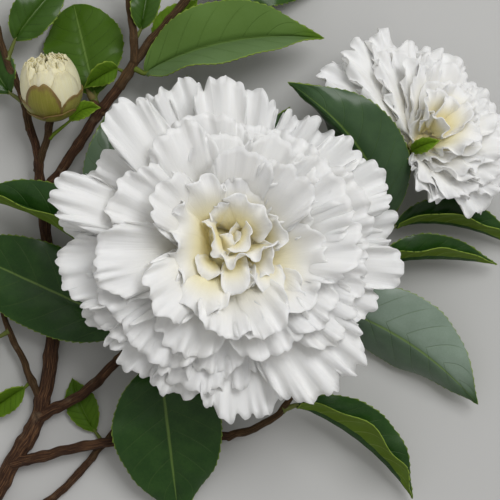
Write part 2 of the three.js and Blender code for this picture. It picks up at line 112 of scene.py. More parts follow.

# Sprays: the twig's points, its radii, and its leaves. A leaf is the twig's point that it grows from, its
# blade's foot, middle and tip, its width, the lift of its left and right halves in degrees, how young and
# pale it is, from 0 to 1, and, where it needs them, how blunt its end is and how much painted sheen lies on
# it, a lighter grey-green that stands in for reflected light, mostly on its left half, or on its right half
# where that number is negative.
SPRAYS = {
    "bloom_spray": ([[-36.3, -30.2, 6.5], [-22, -16.5, 9.4], [-13, -7.5, 12.6],
                     [-8, -2, 17.4]], (1.25, 1.3), [
        ([-27, -21.5, 8.2], [-31, -22, 9.5], [-58.5, -9.5, 8.6], [-87, 3, 1.2], 25, 4, 8, 0),
        ([-24.5, -19, 8.9], [-25, -30.5, 10], [-22.5, -51.5, 9], [-20, -76.5, 0.4], 31, 8, 8, 0),
        ([-23, -17.5, 9.2], [-33, -12.5, 11.5], [-53.5, 7, 12.5], [-80.5, 15, 8], 22, 106, 12, 0),
        ([-16, -10.5, 10.6], [-20, -4.5, 11.5], [-33.5, 17.5, 12.5], [-39, 38.5, 9], 25, 6, 6, 0.1, 0, 0.32),
        ([-11.5, -6, 13.6], [-10, 2, 15], [-15, 24, 14], [-17.5, 48.5, 7], 24, 8, 8, 0),
        ([-10, -4, 15], [-3, 5, 16], [3.5, 22, 15], [11, 39.5, 9], 20, 8, 4, 0),
    ]),
    "second_bloom_spray": ([[-15, -10, 10.4], [0, -11, 8], [14, -9.5, 8], [26, -5, 9], [36, 4, 10.5],
                            [40.5, 14, 12.2], [44.4, 26.9, 16.2]], (1.15, 1.1), [
        ([15, -9.2, 8], [20.5, -14.5, 9.5], [44, -25.5, 12], [63.5, -43, 5], 25, 4, -50, 0, 0, 0.95),
        ([36.8, 5.8, 10.8], [38, 9, 12.5], [28.5, 28.5, 24.5], [10, 44.5, 28], 23, -78, 5, 0, 0, -0.14),
        ([34, 1.5, 10.8], [40, 6.5, 10.4], [57, 6.5, 8], [76.5, 0, 0.4], 18, 14, 108, 0),
        ([28.5, -3.2, 9.5], [34, -4.5, 9], [50, -2.5, 8.6], [69, -4, 4], 17, 20, 110, 0),
    ]),
    "lower_spray": ([[-5.2, -51.9, 4], [5.6, -47.5, 6], [10, -43, 7.5], [13, -37, 8.5]], (1.05, 0.8), [
        ([9, -44.2, 7.2], [13, -43, 7.5], [31, -53.5, 9], [45.5, -69.5, 3], 23, 8, 118, 0),
    ]),
    "low_side_spray": ([[-43.7, -57.7, 1.2], [-38, -50.8, 1.2], [-34, -45, 1.3]], (0.95, 0.8), [
        ([-35, -46.5, 1.2], [-30, -44, 1.6], [-17, -39, 1.6], [-4, -36, 0.4], 13, 6, 6, 0.2),
        ([-41, -54.5, 1.2], [-43.5, -51, 1.2], [-47.5, -43, 1.2], [-50, -36, 0.4], 9, 6, 6, 0.5),
    ]),
    "left_spray": ([[-58.8, -42, 2.6], [-62, -34, 4], [-66.8, -23.4, 4.6], [-70, -14, 4.2]], (1.1, 0.7), [
        ([-61, -36.5, 3.6], [-63, -38.5, 3.6], [-69, -42, 3.2], [-77, -48.5, 0.4], 9, 10, 60, 0.7),
        ([-67, -22.6, 4.6], [-71.5, -25, 4.2], [-80, -30, 3.6], [-89, -37, 0.4], 13, 14, 12, 0.3),
        ([-69.7, -15, 4.2], [-73, -14.5, 3.8], [-82, -18, 2.6], [-93, -19, 0.4], 12, 8, 8, 0.2),
    ]),
    "upper_left_spray": ([[-61.2, 34.4, 7], [-62.5, 40.4, 7.4], [-67.7, 53.6, 8.2], [-70.5, 63, 8.6],
                          [-71.5, 69, 8.6]], (1.1, 0.8), [
        ([-62.6, 40.8, 7.4], [-66.5, 43.5, 7.4], [-72, 52, 5.5], [-80, 64, 0.4], 13, 12, 20, 0.1),
        ([-67.2, 52.6, 8.1], [-65, 58, 8.8], [-58.5, 66.5, 9], [-50, 77, 5], 13, 14, 20, 0.2),
        ([-71.3, 68, 8.6], [-73, 73.5, 8.4], [-76.5, 87, 6], [-78.5, 101, 0.4], 15, 10, 10, 0.1),
        ([-70.4, 62.6, 8.6], [-75.5, 65.5, 8.2], [-85, 72, 5], [-93, 81, 0.6], 13, 8, 8, 0.1),
    ]),
    "bud_spray": ([[-59, 23, 5.4], [-57.4, 26.5, 7.4], [-55.8, 31.4, 10], [-54.9, 34.6, 12]], (0.9, 1.1), [
        ([-55.4, 30.9, 9.6], [-49.5, 35.5, 11.5], [-45.5, 38.5, 12.4], [-41, 39, 11.8], 5, 20, 20, 1),
    ]),
    "behind_bud_spray": ([[-41.2, 38.6, 8.6], [-42.6, 40.2, 8.4], [-43.6, 41.8, 7.8]], (0.9, 0.8), [
        ([-43, 40.8, 8], [-43, 43, 6.8], [-46, 55.5, 4.4], [-49.5, 69, 0.8], 22.5, -2, 3, 0.38, 0.9),
    ]),
    "top_spray": ([[-35.6, 45.7, 9.4], [-31.5, 52, 10], [-17.5, 69, 10], [-10, 77, 9.4]], (1.4, 0.9), [
        # The first leaf's pale young colour is partly its own and partly painted light on its lit face
        ([-32.6, 50.4, 9.8], [-29, 48.5, 11.5], [-6, 56.5, 14.5], [20.5, 58.5, 9], 25, 10, 62, 0.65, 0, -0.3),
        ([-29.5, 54.3, 10], [-26, 56.5, 9], [-21, 62, 8.8], [-14.5, 70, 5], 11, 20, 14, 0.8),
        ([-33.8, 48.6, 9.6], [-36.5, 50, 9.6], [-40.5, 48.5, 10.2], [-46, 44.5, 9.2], 7, 10, 40, 0.6),
        ([-16.5, 70.2, 10], [-12.5, 72.5, 10], [4, 75, 8], [22, 74, 1], 17, 12, 12, 0.1),
        ([-10.4, 76.6, 9.4], [-7, 81, 9], [3, 94, 6], [9, 107, 0.4], 19, 10, 8, 0.1),
    ]),
    "fork_spray": ([[-31.8, 52.8, 10.4], [-32.2, 60, 11.4], [-33.6, 70, 10.6], [-35, 79, 10]], (1.2, 0.8), [
        ([-32, 57, 11], [-30, 60.5, 12], [-28.5, 68, 12.2], [-27.5, 77, 9], 9, 24, 24, 0.2),
        ([-34.9, 78.4, 10], [-35.5, 83.5, 9.6], [-36.5, 97, 6.4], [-33.5, 111, 0.4], 19, 8, 8, 0.1),
        ([-34.4, 75.6, 10.2], [-39.5, 79, 9.6], [-49, 86, 7], [-60.5, 92, 0.4], 15, 10, 8, 0.1),
    ]),
}

# Blooms: a ring's rise is the slope of its petals above the flower's own plane at foot and tip, and a
# petal is its heading in plan, its reach from the axis and its width, with its own share of ruffle where
# that differs from the ring's. A heart petal is the place of its foot in the bloom's own frame, its heading,
# reach, width and slopes, its roll about its own length in degrees, its share of ruffle and its cupping.
# Depth stretches what stands above the bloom's foot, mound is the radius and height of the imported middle,
# calyx is its size and the turn of its scales, and seed starts the random draws.
RING_PETAL = ("heading", "reach", "width", "ruffle")
HEART_PETAL = ("foot", "heading", "reach", "width", "rise", "roll", "ruffle", "cup")
MAIN_BLOOM = {
    "foot": [-7, -0.8, 19.5], "lean": 5, "towards": 18, "depth": 1.14,
    "mound": (9, 11), "calyx": (9, 12), "seed": 2000,
    "rings": [
        ((14, -6), [
            (104, 38, 26), (78, 37, 26), (46, 33, 26), (18, 36, 28), (345, 38, 26), (318, 35, 26),
            (286, 39, 28), (262, 37, 28), (237, 38, 28), (208, 36, 28), (180, 38, 26), (150, 37, 26),
            (125, 38, 24)]),
        ((24, 0), [
            (119, 47, 12), (105.5, 47.5, 15), (78, 44.5, 15), (62, 42.5, 7.5), (52, 44, 10.5),
            (14, 46.5, 16), (0, 44, 13), (342, 41.5, 16), (279, 45.5, 23), (247, 41, 18), (229, 41.5, 18),
            (203, 42, 17), (172, 43.5, 16), (147, 42, 18)]),
        ((32, 6), [
            (91.5, 46, 14), (40.5, 44.5, 11), (26, 46.5, 16), (351.5, 46.5, 12), (336, 42, 15),
            (305.5, 46.5, 28), (266, 37.5, 20), (249, 38, 22), (142, 42, 18), (190, 45, 20),
            (164.5, 46, 11), (207, 39.5, 26)]),
        ((40, 12), [
            (158.5, 48.5, 13.5), (130.5, 48, 15), (55, 35.5, 26), (20, 39, 26), (327, 37.5, 20),
            (346, 37, 22), (99, 36.5, 24, 0.6), (74, 34, 20, 0.8), (228, 35, 24), (257, 32, 20),
            (198, 36, 22)]),
        ((48, 20), [
            (181, 35, 20), (121, 35, 18), (60, 32, 24, 0.7), (30, 34, 26, 0.8), (3, 34, 22),
            (243, 29, 20), (330, 31, 20), (302, 30, 22), (150, 34, 22, 0.8), (97, 30, 17, 0.35)]),
        ((60, 34), [
            (77, 25.5, 16, 0.35), (46, 26, 18, 0.6), (270, 23, 17), (292, 24, 17), (212, 24, 18),
            (140, 25, 16, 0.8)]),
    ],
    "heart": [
        ((-4.5, 2.5, 10), 187, 11.5, 26, (64, 22), 0, 1.7, 0.05),
        ((7, -3, 9), 346, 18.5, 24, (48, 10), 0, 0.9, 0.4),
        ((2, 5, 10), 72, 13, 15, (60, 30), 5, 0.5, 0.1),
        ((-3.5, 6, 10), 118, 13, 15, (64, 34), -8, 1.2, 0.12),
        ((8, 5, 10), 38, 14, 17, (56, 26), 8, 0.8, 0.15),
        ((-4, -3.5, 10.8), 243, 13, 15, (58, 26), 8, 1.2, 0.2),
        ((2, -6, 9), 280, 13, 17, (56, 20), -6, 1.2, 0.2),
        ((10, -5, 10), 305, 12, 13, (56, 22), 6, 1, 0.3),
        ((1, -1.5, 12), 268, 10, 7.5, (64, 12), 14, 0.7, 0.35),
        ((9, -2.5, 11), 286, 9, 8.5, (64, 18), -12, 0.7, 0.3),
        ((5, 1.2, 13), 286, 4, 16, (80, 44), 4, 1.5, 0.05),
        ((-2.2, 4, 13), 203, 3.4, 11, (80, 46), -6, 1.4, 0.1),
        ((3, 6, 12), 62, 7.5, 15, (70, 34), -10, 0.7, 0.2),
        ((-0.5, 8, 12), 104, 5, 9, (72, 40), 12, 1, 0.2),
        ((8.5, 4.5, 12), 16, 6, 10, (70, 38), 14, 0.9, 0.25),
        ((-4, -2.5, 12), 222, 4.5, 8, (70, 36), 10, 1, 0.3),
        ((4.4, -7, 12), 30, 2.2, 5.5, (84, 56), 10, 0.4, 0.6),
        ((4.4, -7, 12), 150, 2.2, 5.5, (84, 56), 10, 0.4, 0.6),
        ((4.4, -7, 12), 270, 2.4, 6, (84, 50), 10, 0.4, 0.6),
        ((2.5, 3.4, 13), 330, 3, 9, (80, 50), 0, 0.9, 0.2),
        ((6, -1.5, 10), 322, 6, 11, (70, 34), 18, 1, 0.4),
        ((2.5, -3.5, 9), 274, 7, 9, (66, 30), 12, 1, 0.35),
        ((0.8, 3.6, 10.5), 335, 2.4, 5.5, (80, 52), 12, 1, 0.4),
        ((2.8, 4.6, 10), 160, 2.4, 6, (80, 52), -12, 1, 0.4),
        ((-1.5, 1, 10.5), 15, 2.6, 6.5, (80, 50), -8, 1.2, 0.3),
    ],
}
SECOND_BLOOM = {
    "foot": [45.2, 27.8, 17.5], "lean": 42, "towards": 45, "depth": 1,
    "mound": (3, 5), "calyx": (7, 25), "seed": 5000,
    "rings": [
        ((10, -4), [
            (45, 24, 18), (72, 26.5, 18), (97, 31, 20), (119, 32, 18), (141, 34, 14, 1.2), (16, 25.5, 18),
            (-12, 25.5, 18), (-38, 26, 17), (-60, 17, 13), (-84, 17, 12)]),
        ((18, 4), [
            (30, 26, 14), (60, 25, 16), (85, 30.5, 17, 1.3), (107, 34, 17, 1.4), (128, 33, 14, 1.2),
            (3, 26, 15), (-22, 26.5, 15), (-47, 20, 14), (-73, 15, 12)]),
        ((30, 14), [
            (45, 22.5, 18), (74, 25, 17), (98, 27.5, 17, 1.3), (117, 26, 13, 1.2), (16, 24, 18),
            (-14, 23, 17), (-42, 18, 14)]),
        ((44, 26), [
            (58, 20, 16), (86, 22.5, 16, 1.3), (106, 21, 12, 1.1), (28, 20.5, 16), (-2, 20.5, 15),
            (-32, 15.5, 13)]),
        ((56, 34), [
            (72, 17.5, 14), (42, 16.5, 14), (12, 16.5, 13), (100, 16.5, 11), (-20, 13, 11), (300, 9, 10)]),
        ((66, 44), [
            (30, 11, 12), (62, 12, 12), (88, 11.5, 10), (-5, 10.5, 11), (120, 7, 9)]),
    ],
    "heart": [
        ((1, 1, 5), 45, 8, 13, (76, 44), 6, 1.3, 0.2), ((-2, 1, 5), 120, 6, 9, (80, 50), -8, 1.2, 0.2),
        ((1, -2, 5), 330, 7, 10, (78, 46), 10, 1.3, 0.2), ((1, 0, 7), 20, 5, 9, (84, 52), -14, 1.3, 0.3),
        ((0, 1, 7), 80, 4, 8, (84, 56), 16, 1.3, 0.3), ((0, 0, 7), 200, 3, 8, (86, 56), 0, 1.2, 0.3),
    ],
}

# A calyx's whorls: the number of scales, their reach and width as shares of its size, and their rise
CALYX_WHORLS = ((5, 0.8, 0.8, (-30, 70)), (4, 0.55, 0.7, (-35, 60)))

# The bract at the smaller bloom's foot, listed as a leaf
BRACT = ([43, 26.2, 16.5], [43.2, 26.6, 21], [46.5, 28, 26.6], [50.4, 29, 27.6], 4.2, 20, 20, 1)

# The bud's egg: widest is where along its length its two half ellipses meet
BUD = {"foot": [-53.1, 36.4, 12.8], "length": 18, "radius": 7.8, "lean": 60, "towards": 97, "widest": 0.48}

# The bud's scales: the turn round its axis with 180 uppermost, half the span that it wraps, where its tip
# ends along the bud, its height above the petals, and how far it is cream rather than green
BUD_SCALES = [
    (185, 62, 0.95, 0.1, 1), (60, 55, 0.92, 0.3, 0.8), (330, 55, 0.92, 0.3, 0.8), (10, 50, 0.7, 0.5, 0.6),
    (106, 42, 0.99, 0.42, 0.9), (258, 42, 0.98, 0.45, 0.9), (216, 38, 0.88, 0.62, 0.92),
    (164, 36, 0.77, 0.95, 0), (238, 42, 0.48, 0.85, 0.05), (108, 42, 0.45, 0.8, 0.1),
    (300, 45, 0.42, 0.9, 0.1), (50, 45, 0.42, 0.9, 0.1), (200, 50, 0.24, 1.15, 0),
    (120, 45, 0.22, 1.1, 0), (340, 60, 0.3, 1, 0),
]


# Sizes and colours that a user would change


def colour_setting(name, text, default):
    """A colour, its three channels from 0 to 1."""
    return FloatVectorProperty(name=name, description=text, subtype="COLOR", size=3, min=0, max=1,
                               default=default)


def length_setting(name, text, default):
    """A length in metres."""
    return FloatProperty(name=name, description=text, subtype="DISTANCE", unit="LENGTH", default=default)


def power_setting(name, text, default):
    """A lamp's power in watts."""
    return FloatProperty(name=name, description=text, unit="POWER", default=default)


class StemSettings(bpy.types.PropertyGroup):
    bark_colour: colour_setting("Bark", "Colour of the bark", (0.046, 0.019, 0.009))
    fibre_colour: colour_setting("Fibres", "Colour of the raised fibres", (0.21, 0.105, 0.048))
    ridge_share: FloatProperty(
        name="Ridges", description="Height of the bark's ridges as a share of the radius", subtype="FACTOR",
        min=0, max=0.3, default=0.10)
    joint_spacing: length_setting("Joint spacing", "Length between two swollen joints of a stem", 0.0125)


class LeafSettings(bpy.types.PropertyGroup):
    upper_colour: colour_setting("Upper face", "Colour of a leaf's upper face", (0.014, 0.052, 0.006))
    under_colour: colour_setting("Underside", "Colour of a leaf's underside", (0.115, 0.185, 0.018))
    margin_colour: colour_setting("Margin", "Colour of the thin toothed margin", (0.26, 0.36, 0.05))
    thickness: length_setting("Thickness", "Thickness of a blade", 0.0004)
    tooth_spacing: length_setting("Tooth spacing", "Length of one tooth of the margin", 0.0019)
    tooth_depth: length_setting("Tooth depth", "Height of one tooth of the margin", 0.0005)
    veins: IntProperty(name="Side veins", description="Side veins on each half of a blade", min=3, max=16,
                       default=8)


class BloomSettings(bpy.types.PropertyGroup):
    petal_colour: colour_setting("Petals", "Colour of the petals", (0.96, 0.96, 0.95))
    heart_colour: colour_setting("Heart", "Colour deep in the heart", (1.0, 0.885, 0.47))
    thickness: length_setting("Thickness", "Thickness of a petal", 0.00032)
    ruffle: length_setting("Ruffle", "Height of the waves along a petal's rim", 0.0012)
    flute: length_setting("Flutes", "Height of the folds that run out along a petal", 0.0009)


class BudSettings(bpy.types.PropertyGroup):
    scale_colour: colour_setting("Scales", "Colour of the bud's outer scales", (0.24, 0.23, 0.02))
    rim_colour: colour_setting("Scale rims", "Colour of the dry rims of the scales", (0.20, 0.11, 0.04))
    petal_colour: colour_setting("Petals", "Colour of the folded petals that show", (0.95, 0.88, 0.54))


class StageSettings(bpy.types.PropertyGroup):
    floor_colour: colour_setting("Floor", "Colour of the floor", (0.56, 0.56, 0.55))
    key_power: power_setting("Key light", "Power of the large lamp", 4.9)
    fill_power: power_setting("Fill light", "Power of the second lamp", 0.6)
    sky: FloatProperty(name="Sky", description="Strength of the even light from all sides", default=0.38)


# Shader maths


class Value:
    """A socket of a material's nodes. Arithmetic on it adds the Math node that does the same."""

    def __init__(self, paint, socket):
        self.paint, self.socket = paint, socket

    def math(self, operation, *others):
        return self.paint.node("ShaderNodeMath", {"operation": operation}, dict(enumerate((self, *others))))

    def __add__(self, other):
        return self.math("ADD", other)

    def __mul__(self, other):
        return self.math("MULTIPLY", other)

    def __sub__(self, other):
        return self.math("SUBTRACT", other)

    def __rsub__(self, other):
        return (self * -1.0) + other

    def __abs__(self):
        return self.math("ABSOLUTE")

    __radd__ = __add__
    __rmul__ = __mul__

    def from_whole(self):
        """Distance to the nearest whole number."""
        return abs(self.math("FRACT") - 0.5) * -1.0 + 0.5

    def ramp(self, low, high):
        """0 at low and 1 at high, smooth in between."""
        return self.paint.node("ShaderNodeMapRange", {"interpolation_type": "SMOOTHSTEP"},
                               {"Value": self, "From Min": low, "From Max": high})


class Paint:
    """The nodes of one material."""

    def __init__(self, name):
        self.material = bpy.data.materials.new(name)
        self.material.use_nodes = True
        self.tree = self.material.node_tree
        self.tree.nodes.clear()

    def node(self, kind, settings=None, inputs=None, output=0):
        """Adds a node: its settings first, then the value or link of each socket, by name or place."""
        made = self.tree.nodes.new(kind)
        for key, value in (settings or {}).items():
            setattr(made, key, value)
        for key, value in (inputs or {}).items():
            if isinstance(value, Value):
                self.tree.links.new(value.socket, made.inputs[key])
            else:
                made.inputs[key].default_value = value
        return Value(self, made.outputs[output])

    def field(self, name):
        """A number that the mesh carries at each point."""
        return self.node("ShaderNodeAttribute", {"attribute_name": name}, output="Fac")

    def fields(self, *names):
        return [self.field(name) for name in names]

    def place(self):
        return self.node("ShaderNodeTexCoord", output="Object")

    def joined(self, x, y, z):
        return self.node("ShaderNodeCombineXYZ", inputs={0: x, 1: y, 2: z})

    def noise(self, vector, scale, detail=3.0, roughness=0.55):
        return self.node("ShaderNodeTexNoise", inputs={"Vector": vector, "Scale": scale, "Detail": detail,
                                                       "Roughness": roughness}, output="Fac")

    def mix(self, share, first, second):
        """Colour that goes from first to second as share goes from 0 to 1."""
        first, second = (c if isinstance(c, Value) else (*c, 1.0) for c in (first, second))
        return self.node("ShaderNodeMix", {"data_type": "RGBA"}, {0: share, 6: first, 7: second}, output=2)

    def bump(self, height, distance):
        return self.node("ShaderNodeBump", inputs={"Height": height, "Distance": distance}, output="Normal")

    def finish(self, **sockets):
        """The Principled shader and the output. A socket's name has its spaces as underscores."""
        inputs = {name.replace("_", " "): value for name, value in sockets.items()}
        shader = self.node("ShaderNodeBsdfPrincipled", inputs=inputs)
        out = self.tree.nodes.new("ShaderNodeOutputMaterial")
        self.tree.links.new(shader.socket, out.inputs["Surface"])
        return self.material


def bark_material(look):
    """Reddish brown bark: pale fibres that run along the stem, dark cracks, and a grey bloom in patches."""
    paint = Paint("bark")
    around, along, young = paint.fields("around", "along", "young")
    fibres = paint.noise(paint.joined(around * 9.0, along * 150.0, 0.0), 1.0, 5.0, 0.65)
    cracks = paint.noise(paint.joined(around * 16.0, along * 420.0, along * 11.0), 1.0, 4.0, 0.6)
    patches = paint.noise(paint.place(), 260.0, 3.0)
    colour = paint.mix(fibres.ramp(0.46, 0.64), look.bark_colour, look.fibre_colour)
    colour = paint.mix(cracks.ramp(0.48, 0.38) * 0.85, colour, TINTS["crack"])
    colour = paint.mix(patches.ramp(0.58, 0.74) * 0.3, colour, TINTS["weathered"])
    colour = paint.mix(young * 0.55, colour, TINTS["green bark"])
    return paint.finish(Base_Color=colour, Roughness=0.62 + fibres * 0.25, Specular_IOR_Level=0.25,
                        Normal=paint.bump(fibres * 0.7 + cracks * 0.6, 0.0006))


def cut_wood_material():
    """Pale wood in rings round a darker pith, the ring number worked out from the distance to the middle."""
    paint = Paint("cut_wood")
    ring = paint.field("ring")
    grain = paint.noise(paint.place(), 1500.0, 3.0)
    bands = (ring * 5.0 + grain * 0.6).from_whole()
    colour = paint.mix(bands.ramp(0.1, 0.4), TINTS["dark wood"], TINTS["pale wood"])
    colour = paint.mix(ring.ramp(0.80, 0.9), colour, TINTS["inner bark"])
    colour = paint.mix(ring.ramp(0.16, 0.08), colour, TINTS["pith"])
    return paint.finish(Base_Color=colour, Roughness=0.78, Normal=paint.bump(bands + grain, 0.0001))


def leaf_material(look):
    """Glossy leaf: side veins at whole numbers of a slanting count, a pale midrib and margin, and a matt,
    olive underside."""
    paint = Paint("leaf")
    share, along, under, young, stalk, shift, margin, wax = paint.fields(*LEAF_FIELDS)
    place = paint.place()
    out = abs(share)
    count = (along - out * 0.15 - out * out * 0.05) * float(look.veins) + shift
    vein = count.from_whole().ramp(0.05, 0.0) * out.ramp(1.0, 0.7)
    nets = paint.node("ShaderNodeTexVoronoi", {"feature": "DISTANCE_TO_EDGE"},
                      {"Vector": place, "Scale": 900.0})
    net = nets.ramp(0.10, 0.0)
    midrib = out.ramp(0.045, 0.01)
    mottle = paint.noise(place, 180.0, 4.0)
    upper = paint.mix(mottle.ramp(0.35, 0.75) * 0.6, look.upper_colour, TINTS["mottle"])
    # The pale young colour is the leaf's own, and on the top spray's large leaf it is partly painted light on
    # its lit face
    upper = paint.mix(young, upper, TINTS["young"])
    # Painted sheen: a lighter grey-green that stands in for reflected light, mixed onto the upper face
    upper = paint.mix(wax * (0.75 + mottle * 0.4), upper, TINTS["wax"])
    upper = paint.mix(vein * 0.25 + net * 0.07, upper, TINTS["vein"])
    upper = paint.mix(midrib * 0.7, upper, TINTS["midrib"])
    below = paint.mix(mottle.ramp(0.3, 0.8) * 0.5, look.under_colour, TINTS["lower mottle"])
    below = paint.mix((vein + midrib).math("MINIMUM", 1.0) * 0.6, below, TINTS["lower vein"])
    colour = paint.mix(under, upper, below)
    colour = paint.mix(margin.ramp(0.0, 1.0) * 0.8, colour, look.margin_colour)
    colour = paint.mix(stalk, colour, TINTS["stalk"])
    height = vein * -0.6 - midrib * 0.5 + net * -0.06 + mottle * 0.25
    rough = 0.34 + mottle * 0.16 + under * 0.28 + young * 0.3
    gloss = (1.0 - young).ramp(0.4, 1.0) * (1.0 - under) * 0.45
    return paint.finish(Base_Color=colour, Roughness=rough, Specular_IOR_Level=0.08, Coat_Weight=gloss,
                        Coat_Roughness=0.24, Normal=paint.bump(height, 0.00016))


def petal_material(look, name):
    """White petal with faint lengthwise veins, creamier towards the heart, a little light let through. The
    cream is partly the heart's own colour and partly a painted warm glow, for light let into the crevices.
    """
    paint = Paint(name)
    across, along, cream, number = paint.fields(*PETAL_FIELDS)
    streak = paint.noise(paint.joined(across * 22.0, along * 1.8, number * 3.7), 1.0, 4.0, 0.6)
    cloud = paint.noise(paint.joined(across * 1.6, along * 2.2, number * 5.1), 1.0, 2.0)
    colour = paint.mix(streak.ramp(0.35, 0.7) * 0.3, look.petal_colour, TINTS["petal vein"])
    colour = paint.mix(cloud.ramp(0.4, 0.75) * 0.25, colour, TINTS["petal cloud"])
    colour = paint.mix(cream, colour, look.heart_colour)
    return paint.finish(Base_Color=colour, Roughness=0.48 + streak * 0.2, Subsurface_Weight=0.3,
                        Subsurface_Radius=(1.0, 0.94, 0.8), Subsurface_Scale=0.002, Specular_IOR_Level=0.3,
                        Normal=paint.bump(streak * 0.8 + cloud * 0.4, 0.00022))


def bud_material(look):
    """Bud scales, olive with a dry brown rim, over cream petals."""
    paint = Paint("bud")
    across, along, number, rim, petal = paint.fields(*SCALE_FIELDS)
    streak = paint.noise(paint.joined(across * 14.0, along * 1.5, number * 3.1), 1.0, 4.0, 0.6)
    blot = paint.noise(paint.place(), 420.0, 4.0)
    scale = paint.mix(streak.ramp(0.35, 0.7) * 0.5, look.scale_colour, TINTS["scale streak"])
    scale = paint.mix(along.ramp(0.55, 0.1) * 0.7, scale, TINTS["scale foot"])
    cream = paint.mix(streak.ramp(0.35, 0.7) * 0.6, look.petal_colour, TINTS["folded streak"])
    cream = paint.mix(along.ramp(0.5, 0.1) * 0.5, cream, TINTS["folded foot"])
    colour = paint.mix(petal, scale, cream)
    dry = (rim + blot * 1.6 - 0.80).ramp(0.1, 1.0)
    colour = paint.mix(dry * (0.85 - petal * 0.72), colour, look.rim_colour)
    colour = paint.mix(blot.ramp(0.58, 0.8) * (0.5 - petal * 0.45), colour, look.rim_colour)
    return paint.finish(Base_Color=colour, Roughness=0.45 + streak * 0.2, Subsurface_Weight=0.2,
                        Subsurface_Radius=(1.0, 0.9, 0.6), Subsurface_Scale=0.0015,
                        Normal=paint.bump(streak * 0.8 + blot * 0.4, 0.0002))


def floor_material(look):
    """Matt, pale floor with a faint grain."""
    paint = Paint("floor")
    grain = paint.noise(paint.place(), 40.0, 2.0)
    colour = paint.mix(grain * 0.06, look.floor_colour, TINTS["floor grain"])
    return paint.finish(Base_Color=colour, Roughness=0.85)


# Surfaces on grids


class Surface:
    """Grids gathered into one mesh: points in millimetres, four-sided faces, and named numbers a point."""

    def __init__(self, *fields):
        self.points, self.faces, self.count = [], [], 0
        self.fields = {name: [] for name in fields}

    def add(self, points, faces, **values):
        self.points.append(points)
        self.faces.append(faces + self.count)
        self.count += len(points)
        for name, kept in self.fields.items():
            kept.append(np.broadcast_to(values.get(name, 0.0), len(points)))

    def sheet(self, points, thick, **values):
        """Adds a closed sheet round a grid. A value is a number, or a grid that both faces carry."""
        made, faces = closed_sheet(points, thick)
        both = {name: np.tile(np.broadcast_to(value, points.shape[:2]).ravel(), 2)
                for name, value in values.items()}
        self.add(made, faces, under=np.repeat([0.0, 1.0], len(made) // 2), **both)

    def piece(self, name, material, slot, nodes=()):
        """Makes the mesh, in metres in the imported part's frame, and lets it ride and stand for its nodes."""
        points = (np.concatenate(self.points) - PLAN_CENTRE) * MM
        points[:, 2] = np.maximum(points[:, 2], TABLE_GAP)
        faces = np.concatenate(self.faces)
        mesh = bpy.data.meshes.new(name)
        mesh.vertices.add(len(points))
        mesh.vertices.foreach_set("co", points.astype(np.float32).ravel())
        mesh.loops.add(faces.size)
        mesh.loops.foreach_set("vertex_index", faces.astype(np.int32).ravel())
        mesh.polygons.add(len(faces))
        mesh.polygons.foreach_set("loop_start", np.arange(0, faces.size, 4, dtype=np.int32))
        mesh.polygons.foreach_set("use_smooth", np.ones(len(faces), dtype=bool))
        mesh.update(calc_edges=True)
        for field, kept in self.fields.items():
            values = np.concatenate(kept).astype(np.float32)
            mesh.attributes.new(field, "FLOAT", "POINT").data.foreach_set("value", values)
        mesh.validate()
        mesh.materials.append(material)
        made = bpy.data.objects.new(name, mesh)
        bpy.context.scene.collection.objects.link(made)
        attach(made, "root")
        if nodes:
            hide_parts(*nodes)


def unit(vectors):
    return vectors / np.maximum(np.linalg.norm(vectors, axis=-1, keepdims=True), 1e-9)


def smooth(low, high, value):
    """0 below low, 1 above high, and 3x^2 - 2x^3 between."""
    x = np.clip((value - low) / (high - low), 0.0, 1.0)
    return x * x * (3 - 2 * x)


def bell(x, width):
    """1 at x = 0, falling to both sides as exp(-(x / width)^2)."""
    return np.exp(-((x / width) ** 2))


def grid_faces(rows, columns):
    """Four-sided faces of a grid of points, row by row, facing rows x columns."""
    first = (np.arange(rows - 1)[:, None] * columns + np.arange(columns - 1)).ravel()
    return np.stack([first, first + columns, first + columns + 1, first + 1], axis=1)


def ring_faces(rows, sides):
    """Four-sided faces that join rings of points, row by row, and a row of them that shuts each end."""
    index = np.arange(rows * sides).reshape(rows, sides)
    onward = np.roll(index, -1, axis=1)
    body = np.stack([index[:-1], index[1:], onward[1:], onward[:-1]], axis=-1).reshape(-1, 4)
    k = np.arange(sides // 2 - 1)
    cap = np.stack([k, k + 1, sides - 2 - k, sides - 1 - k], axis=1)
    return np.concatenate([body, cap, cap[:, ::-1] + (rows - 1) * sides])


def spokes(ahead, sides):
    """Directions at equal angles round the way ahead, from the level side towards the upper one."""
    level = unit(np.cross(ahead, [0.0, 0.0, 1.0]))[..., None, :]
    above = np.cross(level, ahead[..., None, :])
    angle = (np.arange(sides) * 2 * np.pi / sides)[:, None]
    return np.cos(angle) * level + np.sin(angle) * above


def closed_sheet(points, thick):
    """Top and bottom copies of a grid, half a thickness out along the normals, joined round the rim.
    The normal is the cross product of the two steps to the next points."""
    rows, columns = points.shape[:2]
    normals = unit(np.cross(np.gradient(points, axis=0), np.gradient(points, axis=1)))
    shift = normals * (np.broadcast_to(thick, (rows, columns))[..., None] / 2)
    both = np.concatenate([(points + shift).reshape(-1, 3), (points - shift).reshape(-1, 3)])
    top = grid_faces(rows, columns)
    size = rows * columns
    index = np.arange(size).reshape(rows, columns)
    rim = np.concatenate([index[:-1, 0], index[-1, :-1], index[:0:-1, -1], index[0, :0:-1]])
    onward = np.roll(rim, -1)
    side = np.stack([rim, rim + size, onward + size, onward], axis=1)
    return both, np.concatenate([top, top[:, ::-1] + size, side])


